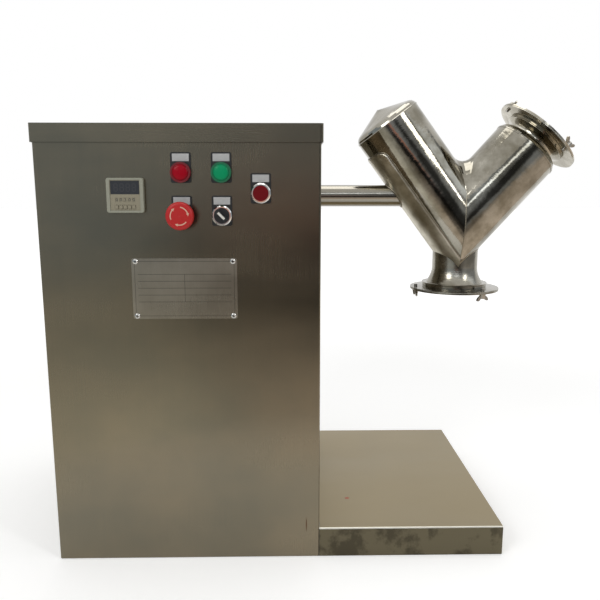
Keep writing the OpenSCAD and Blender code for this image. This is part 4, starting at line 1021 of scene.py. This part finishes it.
# %% The weld of the shaft
SADDLE_T = 0.0025
SHAFT_R = float(np.ptp(corners("main_shaft"), axis=0)[2] / 2)
SHAFT_Z = middle("main_shaft")[2]
SHAFT_WELD_WIDTH = 0.0058
SHAFT_WELD_LEAN = 0.7

angle = np.linspace(0, 2 * math.pi, 160, endpoint=False)
y, z = SHAFT_R * np.cos(angle), SHAFT_Z - APEX_Z + SHAFT_R * np.sin(angle)
face = np.sqrt((ARM_R + SADDLE_T) ** 2 - y ** 2)
x = (-face - z * left_across[2]) / left_across[0]
ring = APEX + np.stack([x, y, z], axis=-1)
radial = np.stack([np.full_like(angle, -SHAFT_WELD_LEAN), np.cos(angle), np.sin(angle)], axis=-1)
weld_bead("shaft_weld", ring, radial, SHAFT_WELD_WIDTH, "drum", closed=True)
print("shaft welded, radius", round(SHAFT_R, 4))

# %% [markdown]
# The saddle plate has a weld of its own. It follows the plate's outline, which is easiest to say
# on the unrolled tube: two straight sides and an upper edge with round corners, as lengths along
# the arm and distances from its middle. Each point is then laid onto the tube's lower side.

# %% The weld of the saddle plate
SADDLE_FOOT, SADDLE_TOP = -0.045, 0.187
SADDLE_HALF = float(corners("saddle_plate")[1, 1])
SADDLE_CORNER = 0.013
SADDLE_WELD_WIDTH = 0.0036
SADDLE_WELD_RISE = 0.0004


def on_left_tube(along_arm, y, radius):
    """Points on a tube about the closed arm's axis, on its lower side, from length and Y.

    The way out from the axis is the root of the radius squared less Y squared.
    """
    inward = np.sqrt(radius ** 2 - y ** 2)[:, None]
    out = -left_across * inward + np.array((0, 1, 0)) * y[:, None]
    return APEX + left_along * along_arm[:, None] + out, out


corner = np.linspace(0, math.pi / 2, 24)
straight = np.linspace(SADDLE_FOOT, SADDLE_TOP - SADDLE_CORNER, 260, endpoint=False)
upper = np.linspace(SADDLE_HALF - SADDLE_CORNER, 0, 60)[1:]
half_y = np.concatenate([np.full_like(straight, SADDLE_HALF),
                         SADDLE_HALF - SADDLE_CORNER * (1 - np.cos(corner)), upper])
half_l = np.concatenate([straight, SADDLE_TOP - SADDLE_CORNER * (1 - np.sin(corner)),
                         np.full_like(upper, SADDLE_TOP)])
outline_y = np.concatenate([half_y, -half_y[-2::-1]])
outline_l = np.concatenate([half_l, half_l[-2::-1]])
edge, outward = on_left_tube(outline_l, outline_y, ARM_R + SADDLE_WELD_RISE)
weld_bead("saddle_weld", edge, outward, SADDLE_WELD_WIDTH, "drum")
print("saddle welded,", len(edge), "points")

# %% [markdown]
# Four short tack welds hold the platform's sheet to the cabinet's side. A whole bead there would
# warp such thin sheet. One of them sits at the front corner, as a small bright lump of weld.

# %% Tack welds between the platform and the cabinet
TACKS = 4
TACK_LENGTH = 0.016
TACK_WIDTH = 0.0042
TACK_IN = 0.012
TACK_OUT = 0.0006
TACK_POINTS = 40

for i, y in enumerate(np.linspace(deck_low[1] + TACK_IN, deck_high[1] - TACK_IN, TACKS)):
    run = y + np.linspace(-TACK_LENGTH / 2, TACK_LENGTH / 2, TACK_POINTS)
    tack = np.stack([np.full_like(run, deck_low[0] + TACK_OUT), run,
                     np.full_like(run, deck_high[2])], axis=-1)
    outward = np.tile((1.0, 0.0, 1.0), (TACK_POINTS, 1))
    weld_bead(f"tack_weld_{i + 1}", tack, outward, TACK_WIDTH, "machine_base")
print(TACKS, "tack welds")

# %% [markdown]
# Under the timer's display five small numerals show the set time. Drawing them from points would
# be slow work, and Blender's own font has them. A text object makes each, and it becomes a plain
# mesh before it is put in place, so that its object can stay at the origin.

# %% The timer's numerals
NUMERALS = "00300"
NUMERAL_SIZE = 0.0062
NUMERAL_T = 0.00012
NUMERAL_DROP = 0.0066
NUMERAL_RECESS = 0.0006
numeral_y = float(corners("timer_fascia")[0, 1]) + NUMERAL_RECESS - NUMERAL_T / 2
numeral_z = middle("timer_fascia")[2] - NUMERAL_DROP


def add_numeral(index, sign, centre):
    """One numeral as a thin solid, standing upright and facing the front."""
    curve = bpy.data.curves.new(f"numeral_{index}", "FONT")
    curve.body = sign
    curve.size = NUMERAL_SIZE
    curve.extrude = NUMERAL_T / 2
    curve.align_x = "CENTER"
    curve.align_y = "CENTER"
    holder = bpy.data.objects.new("holder", curve)
    mesh = bpy.data.meshes.new_from_object(holder)
    mesh.name = curve.name
    bpy.data.objects.remove(holder)
    mesh.materials.clear()
    mesh.transform(Matrix.Translation(centre) @ Matrix.Rotation(math.pi / 2, 4, "X"))
    piece = add_object(mesh, ink.material)
    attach(piece, "machine_base")


for i, sign in enumerate(NUMERALS, start=1):
    add_numeral(i, sign, (middle(f"timer_key_{i}")[0], numeral_y, numeral_z))
print("numerals", NUMERALS)
